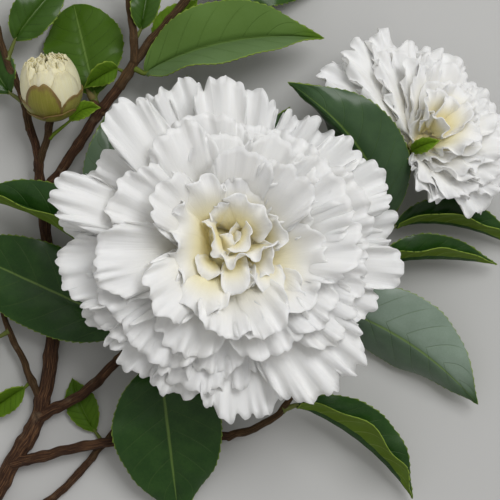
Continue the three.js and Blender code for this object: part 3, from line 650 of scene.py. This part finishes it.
def smooth_path(points, count):
    """Points at equal steps along the centripetal Catmull-Rom curve through the given points."""
    p = np.array(points, float)
    p = np.vstack([2 * p[0] - p[1], p, 2 * p[-1] - p[-2]])
    a, b, c, d = p[:-3], p[1:-2], p[2:-1], p[3:]
    ab, bc, cd = (np.linalg.norm(x - y, axis=1, keepdims=True) ** 0.5 for x, y in ((a, b), (b, c), (c, d)))
    leave = ((b - a) / ab - (c - a) / (ab + bc) + (c - b) / bc) * bc
    reach = ((c - b) / bc - (d - b) / (bc + cd) + (d - c) / cd) * bc
    t = np.linspace(0, 1, CURVE_STEPS, endpoint=False)[None, :, None]
    b, c, leave, reach = (x[:, None, :] for x in (b, c, leave, reach))
    curve = ((2 * t**3 - 3 * t**2 + 1) * b + (t**3 - 2 * t**2 + t) * leave
             + (3 * t**2 - 2 * t**3) * c + (t**3 - t**2) * reach).reshape(-1, 3)
    curve = np.vstack([curve, p[-2]])
    gone = np.concatenate([[0], np.cumsum(np.linalg.norm(np.diff(curve, axis=0), axis=1))])
    at = np.linspace(0, gone[-1], count)
    return np.stack([np.interp(at, gone, curve[:, k]) for k in range(3)], axis=1), gone[-1]


def tube(path, radius, sides):
    """A closed tube: rings of the given radii, one row a ring, square to a path."""
    count = len(path)
    ahead = unit(np.gradient(path, axis=0))
    points = path[:, None] + spokes(ahead, sides) * np.broadcast_to(radius, (count, sides))[..., None]
    return points.reshape(-1, 3), ring_faces(count, sides)


def woody(surface, path, radii, look, seed, young=0.0, collar=0.5, back=0.0, on=0.0):
    """A stem of bark: the radius runs evenly between its ends, swells at joints and at the collar where it
    leaves its parent, carries lengthwise ridges, sines of the angle that drift as they run, and knobs. It
    is carried back and on by two lengths, into the wood that it joins. Its far end is rounded as a circle,
    and so is its near end where it is carried back."""
    rng = np.random.default_rng(seed)
    path = np.array(path, float)
    path[0] -= unit(path[1] - path[0]) * back
    path[-1] += unit(path[-1] - path[-2]) * on
    points, length = smooth_path(path, 2)
    rows = int(length / BARK_ROW) + 3
    points, length = smooth_path(path, rows)
    along = np.linspace(0, length, rows)[:, None]
    around = (np.arange(BARK_SIDES) * 2 * np.pi / BARK_SIDES)[None, :]
    radius = np.interp(along, [0, length], radii)
    drift = np.sin(along * 0.21 + rng.uniform(0, 6))
    ridges = sum(np.sin(k * around + drift * 1.6 + along * s + rng.uniform(0, 6)) / k**0.4
                 for k, s in ((3, 0.25), (5, -0.33), (8, 0.5), (12, -0.7)))
    swelling = np.zeros_like(along)
    for at in np.arange(rng.uniform(5, 9), length, look.joint_spacing / MM):
        swelling = swelling + rng.uniform(0.10, 0.2) * bell(along - at, 1.3)
    for _ in range(int(length / 3.2)):
        where, way = rng.uniform(1, length), rng.uniform(0, 2 * np.pi)
        off = np.angle(np.exp(1j * (around - way))) * radius
        tall, wide = rng.uniform(0.06, 0.2), rng.uniform(0.4, 1.2)
        swelling = swelling + tall * np.exp(-(((along - where) ** 2 + off**2) / wide))
    swelling = swelling + collar * bell(along, 2.4)
    kernel = bell(np.linspace(-2, 2, 15), 1)
    kernel = kernel / kernel.sum()
    bends = rng.normal(0, 1, (rows + len(kernel) - 1, 3))
    bends = np.stack([np.convolve(bends[:, k], kernel, mode="valid") for k in range(3)], axis=1)
    ease = smooth(0, 4, along) * smooth(0, 4, length - along)
    from_end = np.minimum(along if back else length, length - along) / radius
    rounded = np.sqrt(np.clip(1 - (1 - np.minimum(1, from_end)) ** 2, 0.02, 1))
    radius = radius * rounded * (1 + look.ridge_share * ridges / 2 + swelling)
    made, faces = tube(points + bends * 0.35 * ease, radius, BARK_SIDES)
    surface.add(made, faces, around=np.tile(np.abs(around.ravel() - np.pi), rows) + seed,
                along=np.repeat(along.ravel() * MM, BARK_SIDES), young=young)
    return points[-1], unit(points[-1] - points[-4])


def end_bud(surface, place, ahead, size):
    """The leaf bud at a twig's end, a spindle whose radius is a sine of a power of the share along it, with
    two scales marked by small steps."""
    rings, sides = END_BUD_GRID
    run = np.linspace(0, 1, rings)[:, None]
    steps = 0.12 * smooth(0.30, 0.27, run) + 0.10 * smooth(0.58, 0.55, run)
    radius = size * (0.12 + np.sin(np.pi * (0.12 + 0.88 * run) ** 0.75) ** 0.9 * (0.85 + steps))
    spindle, faces = tube(place + ahead * (run * 4.6 * size - 0.5), radius, sides)
    surface.add(spindle, faces, around=0.5, along=np.repeat(run.ravel() * MM, sides), young=1.3)


def blade_share(t, blunt):
    """Share of the greatest half width at share t of a blade's length: a power of a sine of a power, both
    powers moved by how blunt the blade is, from 0 to 1."""
    return (np.abs(np.sin(np.pi * np.clip(t, 0, 1) ** (0.85 + 0.35 * blunt))) ** (0.85 - 0.3 * blunt)
            * (1 - 0.35 * (1 - blunt) * smooth(0.7, 1, t)))


def leaf(surface, spec, look, seed):
    """A leaf. The midrib is the parabola through foot, middle and tip. Each half runs out from it on an arc
    whose slope falls from the lift by the camber towards the margin. Teeth are a saw wave on the half
    width, side veins sink along lines that slant forward, and the blade puffs up between them."""
    source, foot, middle, tip, width, left, right, young, *own = spec
    blunt, waxy = (*own, 0.0, 0.0)[:2]
    rng = np.random.default_rng(seed)
    foot, middle, tip = (np.array(p, float) for p in (foot, middle, tip))
    steep, bow = tip - foot, 2 * (foot + tip - 2 * middle)
    length = np.linalg.norm(steep)
    t = np.linspace(0, 1, int(length / LEAF_ROW) + 2)[:, None]
    place = foot + steep * t + bow * t * (t - 1)
    ahead = unit(steep + bow * (2 * t - 1))
    side = unit(np.stack([-ahead[:, 1], ahead[:, 0], 0 * ahead[:, 0]], axis=1))
    up = np.cross(ahead, side)
    share = np.append(np.linspace(0, 0.94, 10) ** 0.9, [0.975, 1.0])
    share = np.concatenate([-share[:0:-1], share])
    out = np.abs(share)[None, :]
    tooth = (t * length / (look.tooth_spacing / MM)) % 1.0
    toothed = smooth(0.06, 0.16, t) * smooth(1.0, 0.95, t)
    half = np.maximum(0.42 - 0.34 * smooth(0.7, 1, t), width / 2 * blade_share(t, blunt))
    ease = np.minimum(1, np.minimum(8 * t, 8 * (1 - t)))
    lift = np.radians(np.where(share > 0, left, right))[None, :] * np.minimum(1, 4 * ease)
    camber = np.radians(15 + 5 * rng.uniform(-1, 1)) * ease
    ripple = np.radians(9) * ease * np.sin(2 * np.pi * (2.3 * t + rng.uniform())) * out**2
    angle = lift + camber * (1 - 2 * out) + ripple
    level, height = arc_sums(np.cos(angle) * half, share), arc_sums(np.sin(angle) * half, share)
    offset = np.where(share > 0, 0.5, 0.0)[None, :]
    count = (t - 0.15 * out - 0.05 * out**2) * look.veins + offset
    puff = 0.16 * (0.5 - 0.5 * np.cos(2 * np.pi * count)) * smooth(0, 0.2, out) * smooth(1.0, 0.6, out)
    groove = -0.32 * bell(out * half, 0.55) * smooth(1, 0.8, t)
    started = np.where(share > 0, rng.uniform(), rng.uniform())
    sway = 0.55 * out**2 * np.sin(2 * np.pi * (3.1 * t + started)) * ease
    puff = puff * smooth(0, 0.1, t) * smooth(1, 0.9, t) * min(1.0, width / 18) * (1 - 0.7 * young)
    relief = puff + groove + sway * width / 24
    sign = np.sign(share)[None, :] + (share == 0)
    saw = (tooth - 0.5) * look.tooth_depth / MM * toothed * (out > 0.99)
    level = level - relief * np.sin(angle) + saw * np.cos(angle)
    height = height + relief * np.cos(angle) + saw * np.sin(angle)
    points = place[:, None] + side[:, None] * (level * sign)[..., None] + up[:, None] * height[..., None]
    rib = 0.9 * bell(out * half, 0.5) * smooth(1.05, 0.3, t)
    thick = look.thickness / MM * (1 - 0.35 * out**3) * (1 - 0.4 * smooth(0.9, 1, t)) + rib
    points = points - up[:, None] * (rib / 2)[..., None]
    # Painted sheen, standing in for reflected light: mostly on the half that the amount's sign picks, gone at
    # the tip
    wax = abs(waxy) * (0.45 + 0.55 * smooth(-0.02, 0.2, share * np.sign(waxy))) * smooth(1.0, 0.8, t)
    surface.sheet(points, thick, share=share, along=t, young=young, shift=offset,
                  margin=smooth(0.30, 0.0, (1 - out) * half), wax=wax)
    stalk_end = foot + steep * 0.05 + bow * 0.05 * -0.95
    start = np.array(source, float)
    bend = start * 0.45 + foot * 0.55 - [0, 0, 0.25]
    rings, sides = STALK_GRID
    path, _ = smooth_path([start, bend, foot - up[0] * 0.35, stalk_end - up[0] * 0.35], rings)
    run = np.linspace(0, 1, rings)[:, None]
    size = min(1.0, 0.55 + width / 50)
    stalk, faces = tube(path, size * (0.95 - 0.45 * run + 0.45 * bell(run, 0.1)), sides)
    surface.add(stalk, faces, stalk=1.0 - 0.5 * young, share=0.5, along=0.5, young=young)


def arc_sums(steps, share):
    """Running sums of steps out from the midrib on both sides, each step weighted by the change of share."""
    middle = len(share) // 2
    gap = np.abs(np.diff(share))
    mean = (steps[:, 1:] + steps[:, :-1]) / 2 * gap
    right = np.cumsum(mean[:, :middle][:, ::-1], axis=1)[:, ::-1]
    left = np.cumsum(mean[:, middle:], axis=1)
    return np.concatenate([right, np.zeros((len(steps), 1)), left], axis=1)


def leaning_frame(spec):
    """A bloom's or bud's foot, its axis, the way across and the way downhill."""
    lean, towards = np.radians(spec["lean"]), np.radians(spec["towards"])
    axis = np.array([np.sin(lean) * np.cos(towards), np.sin(lean) * np.sin(towards), np.cos(lean)])
    across = np.array([-np.sin(towards), np.cos(towards), 0.0])
    return np.array(spec["foot"], float), axis, across, np.cross(across, axis)


def petal(surface, bloom, look, rise, heading, reach, width, seed, foot=(0, 0, 0), roll=0.0, ruffle=1.0,
          cream=(0.0, 0.3), grid=PETAL_GRID, cup=0.1):
    """A petal, as a fan of lines from its foot to its outline. The outline is a blunt half ellipse, half as
    high as the petal is wide, drawn out below towards the foot. The middle line bends evenly from the first
    slope to the last, and what lies above the bloom's foot is stretched along the axis by its depth. Towards
    the rim the sheet waves in three sizes, sines of the length gone round the outline, and slips along the
    rim by the sine of twice the same angle, which makes the crests lean over. The outline is cut into round
    lobes by rectified sines of half those angles, and two soft notches and a horn are bells on it."""
    rng = np.random.default_rng(seed)
    centre, axis, _, _ = leaning_frame(bloom)
    out = plan_way(bloom, heading)
    tangent = np.cross(axis, out)
    low, high = np.radians(rise[0]), np.radians(rise[1] - 0.001)
    bend = high - low
    length = reach * bend / (np.sin(high) - np.sin(low))
    s = (np.linspace(0.02, 1, grid[0]) ** 0.64)[:, None]
    t = np.linspace(-1, 1, grid[1])[None, :]
    turn = 0.74 * np.pi * (0.72 * t + 0.28 * t**3)
    crown = min(0.38, 0.5 * width / length)
    rise_share = np.where(np.cos(turn) > 0, crown * np.abs(np.cos(turn)) ** 0.75, (1 - crown) * np.cos(turn))
    rim_x = width / 2 * np.sign(turn) * np.abs(np.sin(turn)) ** 0.85
    rim_y = length * (1 - crown + rise_share)
    way_x, way_y = np.gradient(rim_x, axis=1), np.gradient(rim_y, axis=1)
    step = np.hypot(way_x, way_y)
    gone_round = np.cumsum(step, axis=1) - step.sum() / 2
    phase = rng.uniform(0, 2 * np.pi, 14)
    turns = 2 * np.pi * gone_round
    first = turns / rng.uniform(*RIM_WAVES[0]) + 0.9 * np.sin(gone_round / 5 + phase[0]) + phase[1]
    second = turns / rng.uniform(*RIM_WAVES[1]) + 1.2 * np.sin(gone_round / 2.7 + phase[2]) + phase[3]
    third = turns / RIM_WAVES[2] + phase[4]
    swell = 0.6 + 0.4 * np.sin(gone_round / 2.1 + phase[5])
    wave = look.ruffle / MM * ruffle * min(1.15, 0.45 + width / 36)
    outer = wave * 1.2 * smooth(0.60, 1.0, s) ** 1.7
    edge = wave * 0.78 * swell * smooth(0.76, 1.0, s) ** 1.5
    fine = wave * 0.14 * smooth(0.88, 1.0, s)
    waves = outer * np.sin(first) + edge * np.sin(second) + fine * np.sin(third)
    slip = -0.18 * outer * np.sin(2 * first) - 0.24 * edge * np.sin(2 * second)
    notch = sum(bell(gone_round - rng.uniform(-0.32, 0.32) * step.sum(), 1.1) for _ in range(2))
    lobes = (1 - np.abs(np.sin(first / 2 + phase[6]))) ** 1.3
    small_lobes = (1 - np.abs(np.sin(second / 2 + phase[7]))) ** 1.2
    horn = bell(gone_round - (phase[13] / 10.5 - 0.3) * step.sum(), 1.3)
    cuts = 0.026 * horn - 0.036 * lobes - 0.022 * small_lobes - 0.045 * notch
    scallop = 1 + cuts * smooth(0.78, 1, s) * ruffle
    x = s * rim_x * scallop + slip * way_x / step
    y = s * rim_y * scallop + slip * way_y / step
    slope = low + bend * np.clip(y / length, 0, 1.1)
    gone = length * (np.sin(slope) - np.sin(low)) / bend
    height = length * (np.cos(low) - np.cos(slope)) / bend
    flute = look.flute / MM * ruffle * min(1.2, width / 24)
    folds = 0.8 * np.sin(np.pi * 1.1 * t + phase[8]) + 0.4 * np.sin(np.pi * 2.3 * t + phase[9])
    folds = flute * s**1.5 * folds
    ribs = 0.05 * s * np.sin(turns / 5.3 + phase[10])
    sag = 0.7 * ruffle * s * np.sin(2.6 * s + phase[11]) * np.sin(1.3 * t + phase[12])
    curl = rng.uniform(-2.2, 1.0) * smooth(0.55, 1.0, s) ** 2 * np.cos(t)
    tilt = np.tan(np.radians(roll + rng.uniform(-3, 3))) * x
    raise_by = 2 * cup * x * x / width + tilt + folds + ribs + waves + sag + curl * min(1, width / 20)
    normal = np.cos(slope)[..., None] * axis - np.sin(slope)[..., None] * out
    drift = rng.uniform(-0.05, 0.05) * length * s**2
    base = centre + foot[0] * plan_way(bloom, 0) + foot[1] * plan_way(bloom, 90) + foot[2] * axis
    points = (base + gone[..., None] * out + height[..., None] * axis
              + (x + drift)[..., None] * tangent + raise_by[..., None] * normal)
    points += (np.maximum((points - centre) @ axis, 0) * (bloom["depth"] - 1))[..., None] * axis
    from_axis = points - centre
    from_axis = np.linalg.norm(from_axis - (from_axis @ axis)[..., None] * axis, axis=-1)
    # The cream is the heart's own colour near the axis, and partly a painted warm glow: the first share, at
    # each petal's foot, stands in for light let through the petals into the crevices
    cream_and_painted_glow = cream[0] * smooth(0.95, 0.2, s) + cream[1] * smooth(27, 5, from_axis) * smooth(1.0, 0.45, s)
    thick = look.thickness / MM * (1.25 - 0.75 * smooth(0.7, 1, s))
    surface.sheet(points, thick, across=t, along=s, cream=cream_and_painted_glow, number=seed % 97)


def plan_way(bloom, heading):
    """The direction of a heading in the bloom's own leaning plane."""
    _, _, across, downhill = leaning_frame(bloom)
    turn = np.radians(heading - bloom["towards"])
    return downhill * np.cos(turn) + across * np.sin(turn)


def mound(surface, bloom):
    """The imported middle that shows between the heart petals: rings whose radius is a quarter cosine of
    their height, shut at the top by a small cap."""
    radius, height = bloom["mound"]
    centre, axis, across, downhill = leaning_frame(bloom)
    rows, sides = MOUND_GRID
    t = np.linspace(0, 0.97, rows)[:, None]
    way = (np.arange(sides) * 2 * np.pi / sides)[None, :]
    lumps = 1 + 0.07 * np.sin(7 * way + 5 * t) + 0.04 * np.sin(13 * way)
    ring = radius * np.cos(np.pi / 2 * t) ** 0.7 * lumps
    points = (centre + (height * bloom["depth"] * np.sin(np.pi / 2 * t))[..., None] * axis
              + (ring * np.cos(way))[..., None] * across + (ring * np.sin(way))[..., None] * downhill)
    surface.add(points.reshape(-1, 3), ring_faces(rows, sides), across=np.tile(np.sin(way.ravel() * 9), rows),
                along=np.repeat(t.ravel(), sides), cream=0.9)


def bloom_pieces(name, bloom, look):
    """A bloom: the mound, its rings of petals from the lowest up, then the heart, in pieces of a size."""
    material = petal_material(look, name)
    # Each ring petal's foot takes a little cream, a painted warm glow for light let through the petals
    petals = [dict(rise=rise, roll=7 if k % 2 else -5, ruffle=1.1 - 0.05 * ring, cream=(0.12, 0.08 * ring),
                   seed=bloom["seed"] + 31 * ring + k) | dict(zip(RING_PETAL, own))
              for ring, (rise, row) in enumerate(bloom["rings"]) for k, own in enumerate(row)]
    petals += [dict(zip(HEART_PETAL, own), cream=(0.5, 0.45), grid=HEART_GRID, seed=bloom["seed"] + 501 + k)
               for k, own in enumerate(bloom["heart"])]
    parts = [Surface(*PETAL_FIELDS)]
    mound(parts[0], bloom)
    for spec in petals:
        if parts[-1].count > PIECE_POINTS:
            parts.append(Surface(*PETAL_FIELDS))
        petal(parts[-1], bloom, look, **spec)
    for k, surface in enumerate(parts):
        surface.piece(f"{name}_petals_{k + 1}", material, "petal", () if k else (name,))


def calyx(name, bloom, material):
    """Overlapping scales under a bloom: short, broad petals with no ruffle, in whorls."""
    class Plain:
        thickness, ruffle, flute = 0.0005, 0.0001, 0.0002
    size, turn = bloom["calyx"]
    centre, axis, _, _ = leaning_frame(bloom)
    lowered = dict(bloom, depth=1, foot=centre - axis * size * 0.25)
    surface = Surface(*SCALE_FIELDS)
    for whorl, (count, reach, width, rise) in enumerate(CALYX_WHORLS):
        for k in range(count):
            heading = 360 * k / count + 37 * whorl + turn
            petal(surface, lowered, Plain, rise, heading, reach * size, width * size, turn + k, ruffle=0.3,
                  grid=CALYX_GRID, cup=0.2)
    surface.piece(name, material, "bud")


def cylinder_scale(surface, spec, turn, span, start, end, lift, cream, seed, frill=0.0):
    """A bud scale wrapped on the bud's egg: an angle span round the axis and a stretch of its length, at a
    small height above the egg. Its rim falls from its tip as a power of the share across, with a small nick
    at the tip. The egg is two half ellipses that meet where it is widest, the upper one cut off before it
    closes."""
    rng = np.random.default_rng(seed)
    centre, axis, across, downhill = leaning_frame(spec)
    rows, columns = SCALE_GRID
    v, u = np.linspace(0, 1, rows)[:, None], np.linspace(-1, 1, columns)[None, :]
    at = start + (end - start) * v * (1 - 0.42 * np.abs(u) ** 2.4 - 0.05 * bell(u, 0.16))
    phase = rng.uniform(0, 6, 5)
    at = at + 0.012 * v**4 * np.sin(5 * u + phase[4])
    at = at + frill * v**6 * (0.03 * np.sin(9 * u + phase[0]) + 0.022 * np.sin(19 * u + phase[1]))
    wide = span * (0.45 + 0.55 * np.sin(np.pi / 2 * np.minimum(1, v / 0.6)))
    angle = np.radians(turn) + np.radians(wide) * u
    off = (at - spec["widest"]) / np.where(at < spec["widest"], 0.495, 0.64)
    egg = spec["radius"] * np.sqrt(np.maximum(0.03, 1 - off * off))
    wave = frill * v**4 * (0.5 * np.sin(8 * u + phase[2]) + 0.35 * np.sin(17 * u + phase[3]))
    radius = np.maximum(0.5, egg + lift * (0.3 + 0.7 * v) - 0.35 * u * u * v + wave)
    points = (centre + axis * (spec["length"] * at)[..., None]
              + (radius * np.cos(angle))[..., None] * downhill + (radius * np.sin(angle))[..., None] * across)
    edge = smooth(0.80, 1.0, (v**5 + np.abs(u) ** 5 * smooth(0.2, 0.6, v)) ** 0.2) * smooth(0.25, 0.7, v)
    surface.sheet(points[:, ::-1], 0.3 * (1.3 - 0.6 * v), across=u[:, ::-1], along=v, rim=edge[:, ::-1],
                  petal=cream, number=seed % 89)


# Operators


class CAMELLIA_OT_stems(bpy.types.Operator):
    """Builds the woody stems with their bark, joints and knobs, and the face of the cut"""

    bl_idname = "camellia.stems"
    bl_label = "Stems"

    def execute(self, context):
        look = context.scene.camellia_stems
        bark = bark_material(look)
        for k, (name, (path, radii)) in enumerate(STEMS.items()):
            surface = Surface("around", "along", "young")
            woody(surface, path, radii, look, SEEDS["stems"] + k, on=0.9,
                  collar=0.0 if name == "main_stem" else 0.4)
            surface.piece(f"{name}_bark", bark, "bark", (name,))
        for k, (name, (path, radii, _)) in enumerate(SPRAYS.items()):
            surface = Surface("around", "along", "young")
            place, ahead = woody(surface, path, radii, look, SEEDS["twigs"] + k, young=0.2, collar=0.18,
                                 back=1.9, on=2.6 if name == "bud_spray" else 0.0)
            if name not in ("bloom_spray", "second_bloom_spray", "bud_spray"):
                end_bud(surface, place, ahead, radii[1] * 1.15)
            surface.piece(f"{name}_twig", bark, "bark")
        self.cut_face()
        return {"FINISHED"}

    def cut_face(self):
        """The cut: a shallow dome of rings, its radius shrinking to a small ring that the cap shuts."""
        path, radii = STEMS["main_stem"]
        points, _ = smooth_path(path, 300)
        back = unit(points[0] - points[1])
        line = points[0] + back * CUT_HEIGHTS[:, None]
        k = np.arange(CUT_SIDES)
        wobble = 1 + 0.03 * np.sin(k * 0.6) + 0.02 * np.sin(k * 1.37)
        radius = CUT_SHARES[:, None] * wobble * radii[0] * 1.02
        rings = line[:, None] + spokes(back, CUT_SIDES) * radius[..., None]
        surface = Surface("ring")
        surface.add(rings.reshape(-1, 3), ring_faces(len(rings), CUT_SIDES),
                    ring=np.repeat(np.where(CUT_HEIGHTS < 0, 1.0, CUT_SHARES), CUT_SIDES))
        surface.piece("cut_face", cut_wood_material(), "bark")


class CAMELLIA_OT_leaves(bpy.types.Operator):
    """Builds each spray's toothed, glossy leaves on their stalks"""

    bl_idname = "camellia.leaves"
    bl_label = "Leaves"

    def execute(self, context):
        look = context.scene.camellia_leaves
        material = leaf_material(look)
        for k, (name, (_, _, leaves)) in enumerate(SPRAYS.items()):
            surface = Surface(*LEAF_FIELDS)
            for j, spec in enumerate(leaves):
                leaf(surface, spec, look, SEEDS["leaves"] + 37 * k + j)
            surface.piece(f"{name}_leaves", material, "leaf", (name,))
        surface = Surface(*LEAF_FIELDS)
        leaf(surface, BRACT, look, SEEDS["bract"])
        surface.piece("second_bloom_bract", material, "leaf")
        return {"FINISHED"}


class CAMELLIA_OT_main_bloom(bpy.types.Operator):
    """Builds the wide bloom: rings of ruffled petals round a cream heart, on its calyx"""

    bl_idname = "camellia.main_bloom"
    bl_label = "Wide bloom"

    def execute(self, context):
        bloom_pieces("main_bloom", MAIN_BLOOM, context.scene.camellia_blooms)
        calyx("main_bloom_calyx", MAIN_BLOOM, bud_material(context.scene.camellia_bud))
        return {"FINISHED"}


class CAMELLIA_OT_second_bloom(bpy.types.Operator):
    """Builds the smaller bloom that leans over, on its calyx"""

    bl_idname = "camellia.second_bloom"
    bl_label = "Leaning bloom"

    def execute(self, context):
        bloom_pieces("second_bloom", SECOND_BLOOM, context.scene.camellia_blooms)
        calyx("second_bloom_calyx", SECOND_BLOOM, bud_material(context.scene.camellia_bud))
        return {"FINISHED"}


class CAMELLIA_OT_bud(bpy.types.Operator):
    """Builds the bud: cream petals with frilled tips in overlapping scales"""

    bl_idname = "camellia.bud"
    bl_label = "Bud"

    def execute(self, context):
        surface = Surface(*SCALE_FIELDS)
        for whorl, count in enumerate((6, 5, 4, 3, 2)):
            for k in range(count):
                cylinder_scale(surface, BUD, 360 * k / count + 31 * whorl, 48 + 8 * whorl, 0.2,
                               0.94 + 0.01 * (k % 3) + 0.014 * whorl, -0.3 - 1.05 * whorl, 1.0,
                               SEEDS["folded petals"] + 10 * whorl + k, frill=0.8)
        for k, (turn, span, end, lift, cream) in enumerate(BUD_SCALES):
            cylinder_scale(surface, BUD, turn, span, 0.0, end, lift, cream, SEEDS["bud scales"] + k)
        surface.piece("flower_bud_scales", bud_material(context.scene.camellia_bud), "bud", ("flower_bud",))
        return {"FINISHED"}


class CAMELLIA_OT_stage(bpy.types.Operator):
    """Sets up the floor, the lamps and the camera that looks straight down on the branch"""

    bl_idname = "camellia.stage"
    bl_label = "Stage"

    def execute(self, context):
        look = context.scene.camellia_stage
        mesh = bpy.data.meshes.new("floor")
        ways = ((-1, -1), (1, -1), (1, 1), (-1, 1))
        corners = [(x * FLOOR_HALF, y * FLOOR_HALF, -FLOOR_DROP) for x, y in ways]
        mesh.from_pydata(corners, [], [(0, 1, 2, 3)])
        mesh.materials.append(floor_material(look))
        floor = bpy.data.objects.new("floor", mesh)
        context.scene.collection.objects.link(floor)
        self.lamp(context, "key", (0.36, 0.40, 0.84), 0.5, look.key_power)
        self.lamp(context, "fill", (-0.2, 0.5, 0.7), 0.9, look.fill_power)
        world = bpy.data.worlds.new("studio")
        world.use_nodes = True
        background = world.node_tree.nodes["Background"]
        background.inputs["Color"].default_value = (*TINTS["sky"], 1.0)
        background.inputs["Strength"].default_value = look.sky
        context.scene.world = world
        context.scene.view_settings.view_transform = "Standard"
        data = bpy.data.cameras.new("camera")
        data.sensor_width = SENSOR
        data.lens = SENSOR * CAMERA_FOCAL_PIXELS / PHOTO_PIXELS
        data.clip_start, data.clip_end = 0.01, 10.0
        camera = bpy.data.objects.new("camera", data)
        camera.location = (-PLAN_CENTRE[0] * MM, -PLAN_CENTRE[1] * MM, CAMERA_HEIGHT)
        context.scene.collection.objects.link(camera)
        context.scene.camera = camera
        return {"FINISHED"}

    def lamp(self, context, name, place, size, power):
        data = bpy.data.lights.new(name, "AREA")
        data.size, data.energy = size, power
        made = bpy.data.objects.new(name, data)
        towards_branch = Vector(place).to_track_quat("Z", "Y").to_matrix().to_4x4()
        made.matrix_world = Matrix.Translation(place) @ towards_branch
        context.scene.collection.objects.link(made)


STEPS = (CAMELLIA_OT_stage, CAMELLIA_OT_stems, CAMELLIA_OT_leaves, CAMELLIA_OT_main_bloom,
         CAMELLIA_OT_second_bloom, CAMELLIA_OT_bud)
SETTINGS = {"camellia_stems": StemSettings, "camellia_leaves": LeafSettings, "camellia_blooms": BloomSettings,
            "camellia_bud": BudSettings, "camellia_stage": StageSettings}


class CAMELLIA_PT_panel(bpy.types.Panel):
    """Lists the steps and their settings"""

    bl_idname = "CAMELLIA_PT_panel"
    bl_label = "Camellia Branch"
    bl_space_type = "VIEW_3D"
    bl_region_type = "UI"
    bl_category = "Camellia"

    def draw(self, context):
        for step in STEPS:
            self.layout.operator(step.bl_idname)
        for name, group in SETTINGS.items():
            box = self.layout.box()
            for key in group.__annotations__:
                box.prop(getattr(context.scene, name), key)


CLASSES = (*SETTINGS.values(), *STEPS, CAMELLIA_PT_panel)


def register():
    for cls in CLASSES:
        bpy.utils.register_class(cls)
    for name, group in SETTINGS.items():
        setattr(bpy.types.Scene, name, PointerProperty(type=group))


def unregister():
    for name in SETTINGS:
        delattr(bpy.types.Scene, name)
    for cls in reversed(CLASSES):
        bpy.utils.unregister_class(cls)


def main():
    """Builds the branch."""
    register()
    bpy.ops.camellia.stage()
    bpy.ops.camellia.stems()
    bpy.ops.camellia.leaves()
    bpy.ops.camellia.main_bloom()
    bpy.ops.camellia.second_bloom()
    bpy.ops.camellia.bud()


if __name__ == "__main__":
    main()
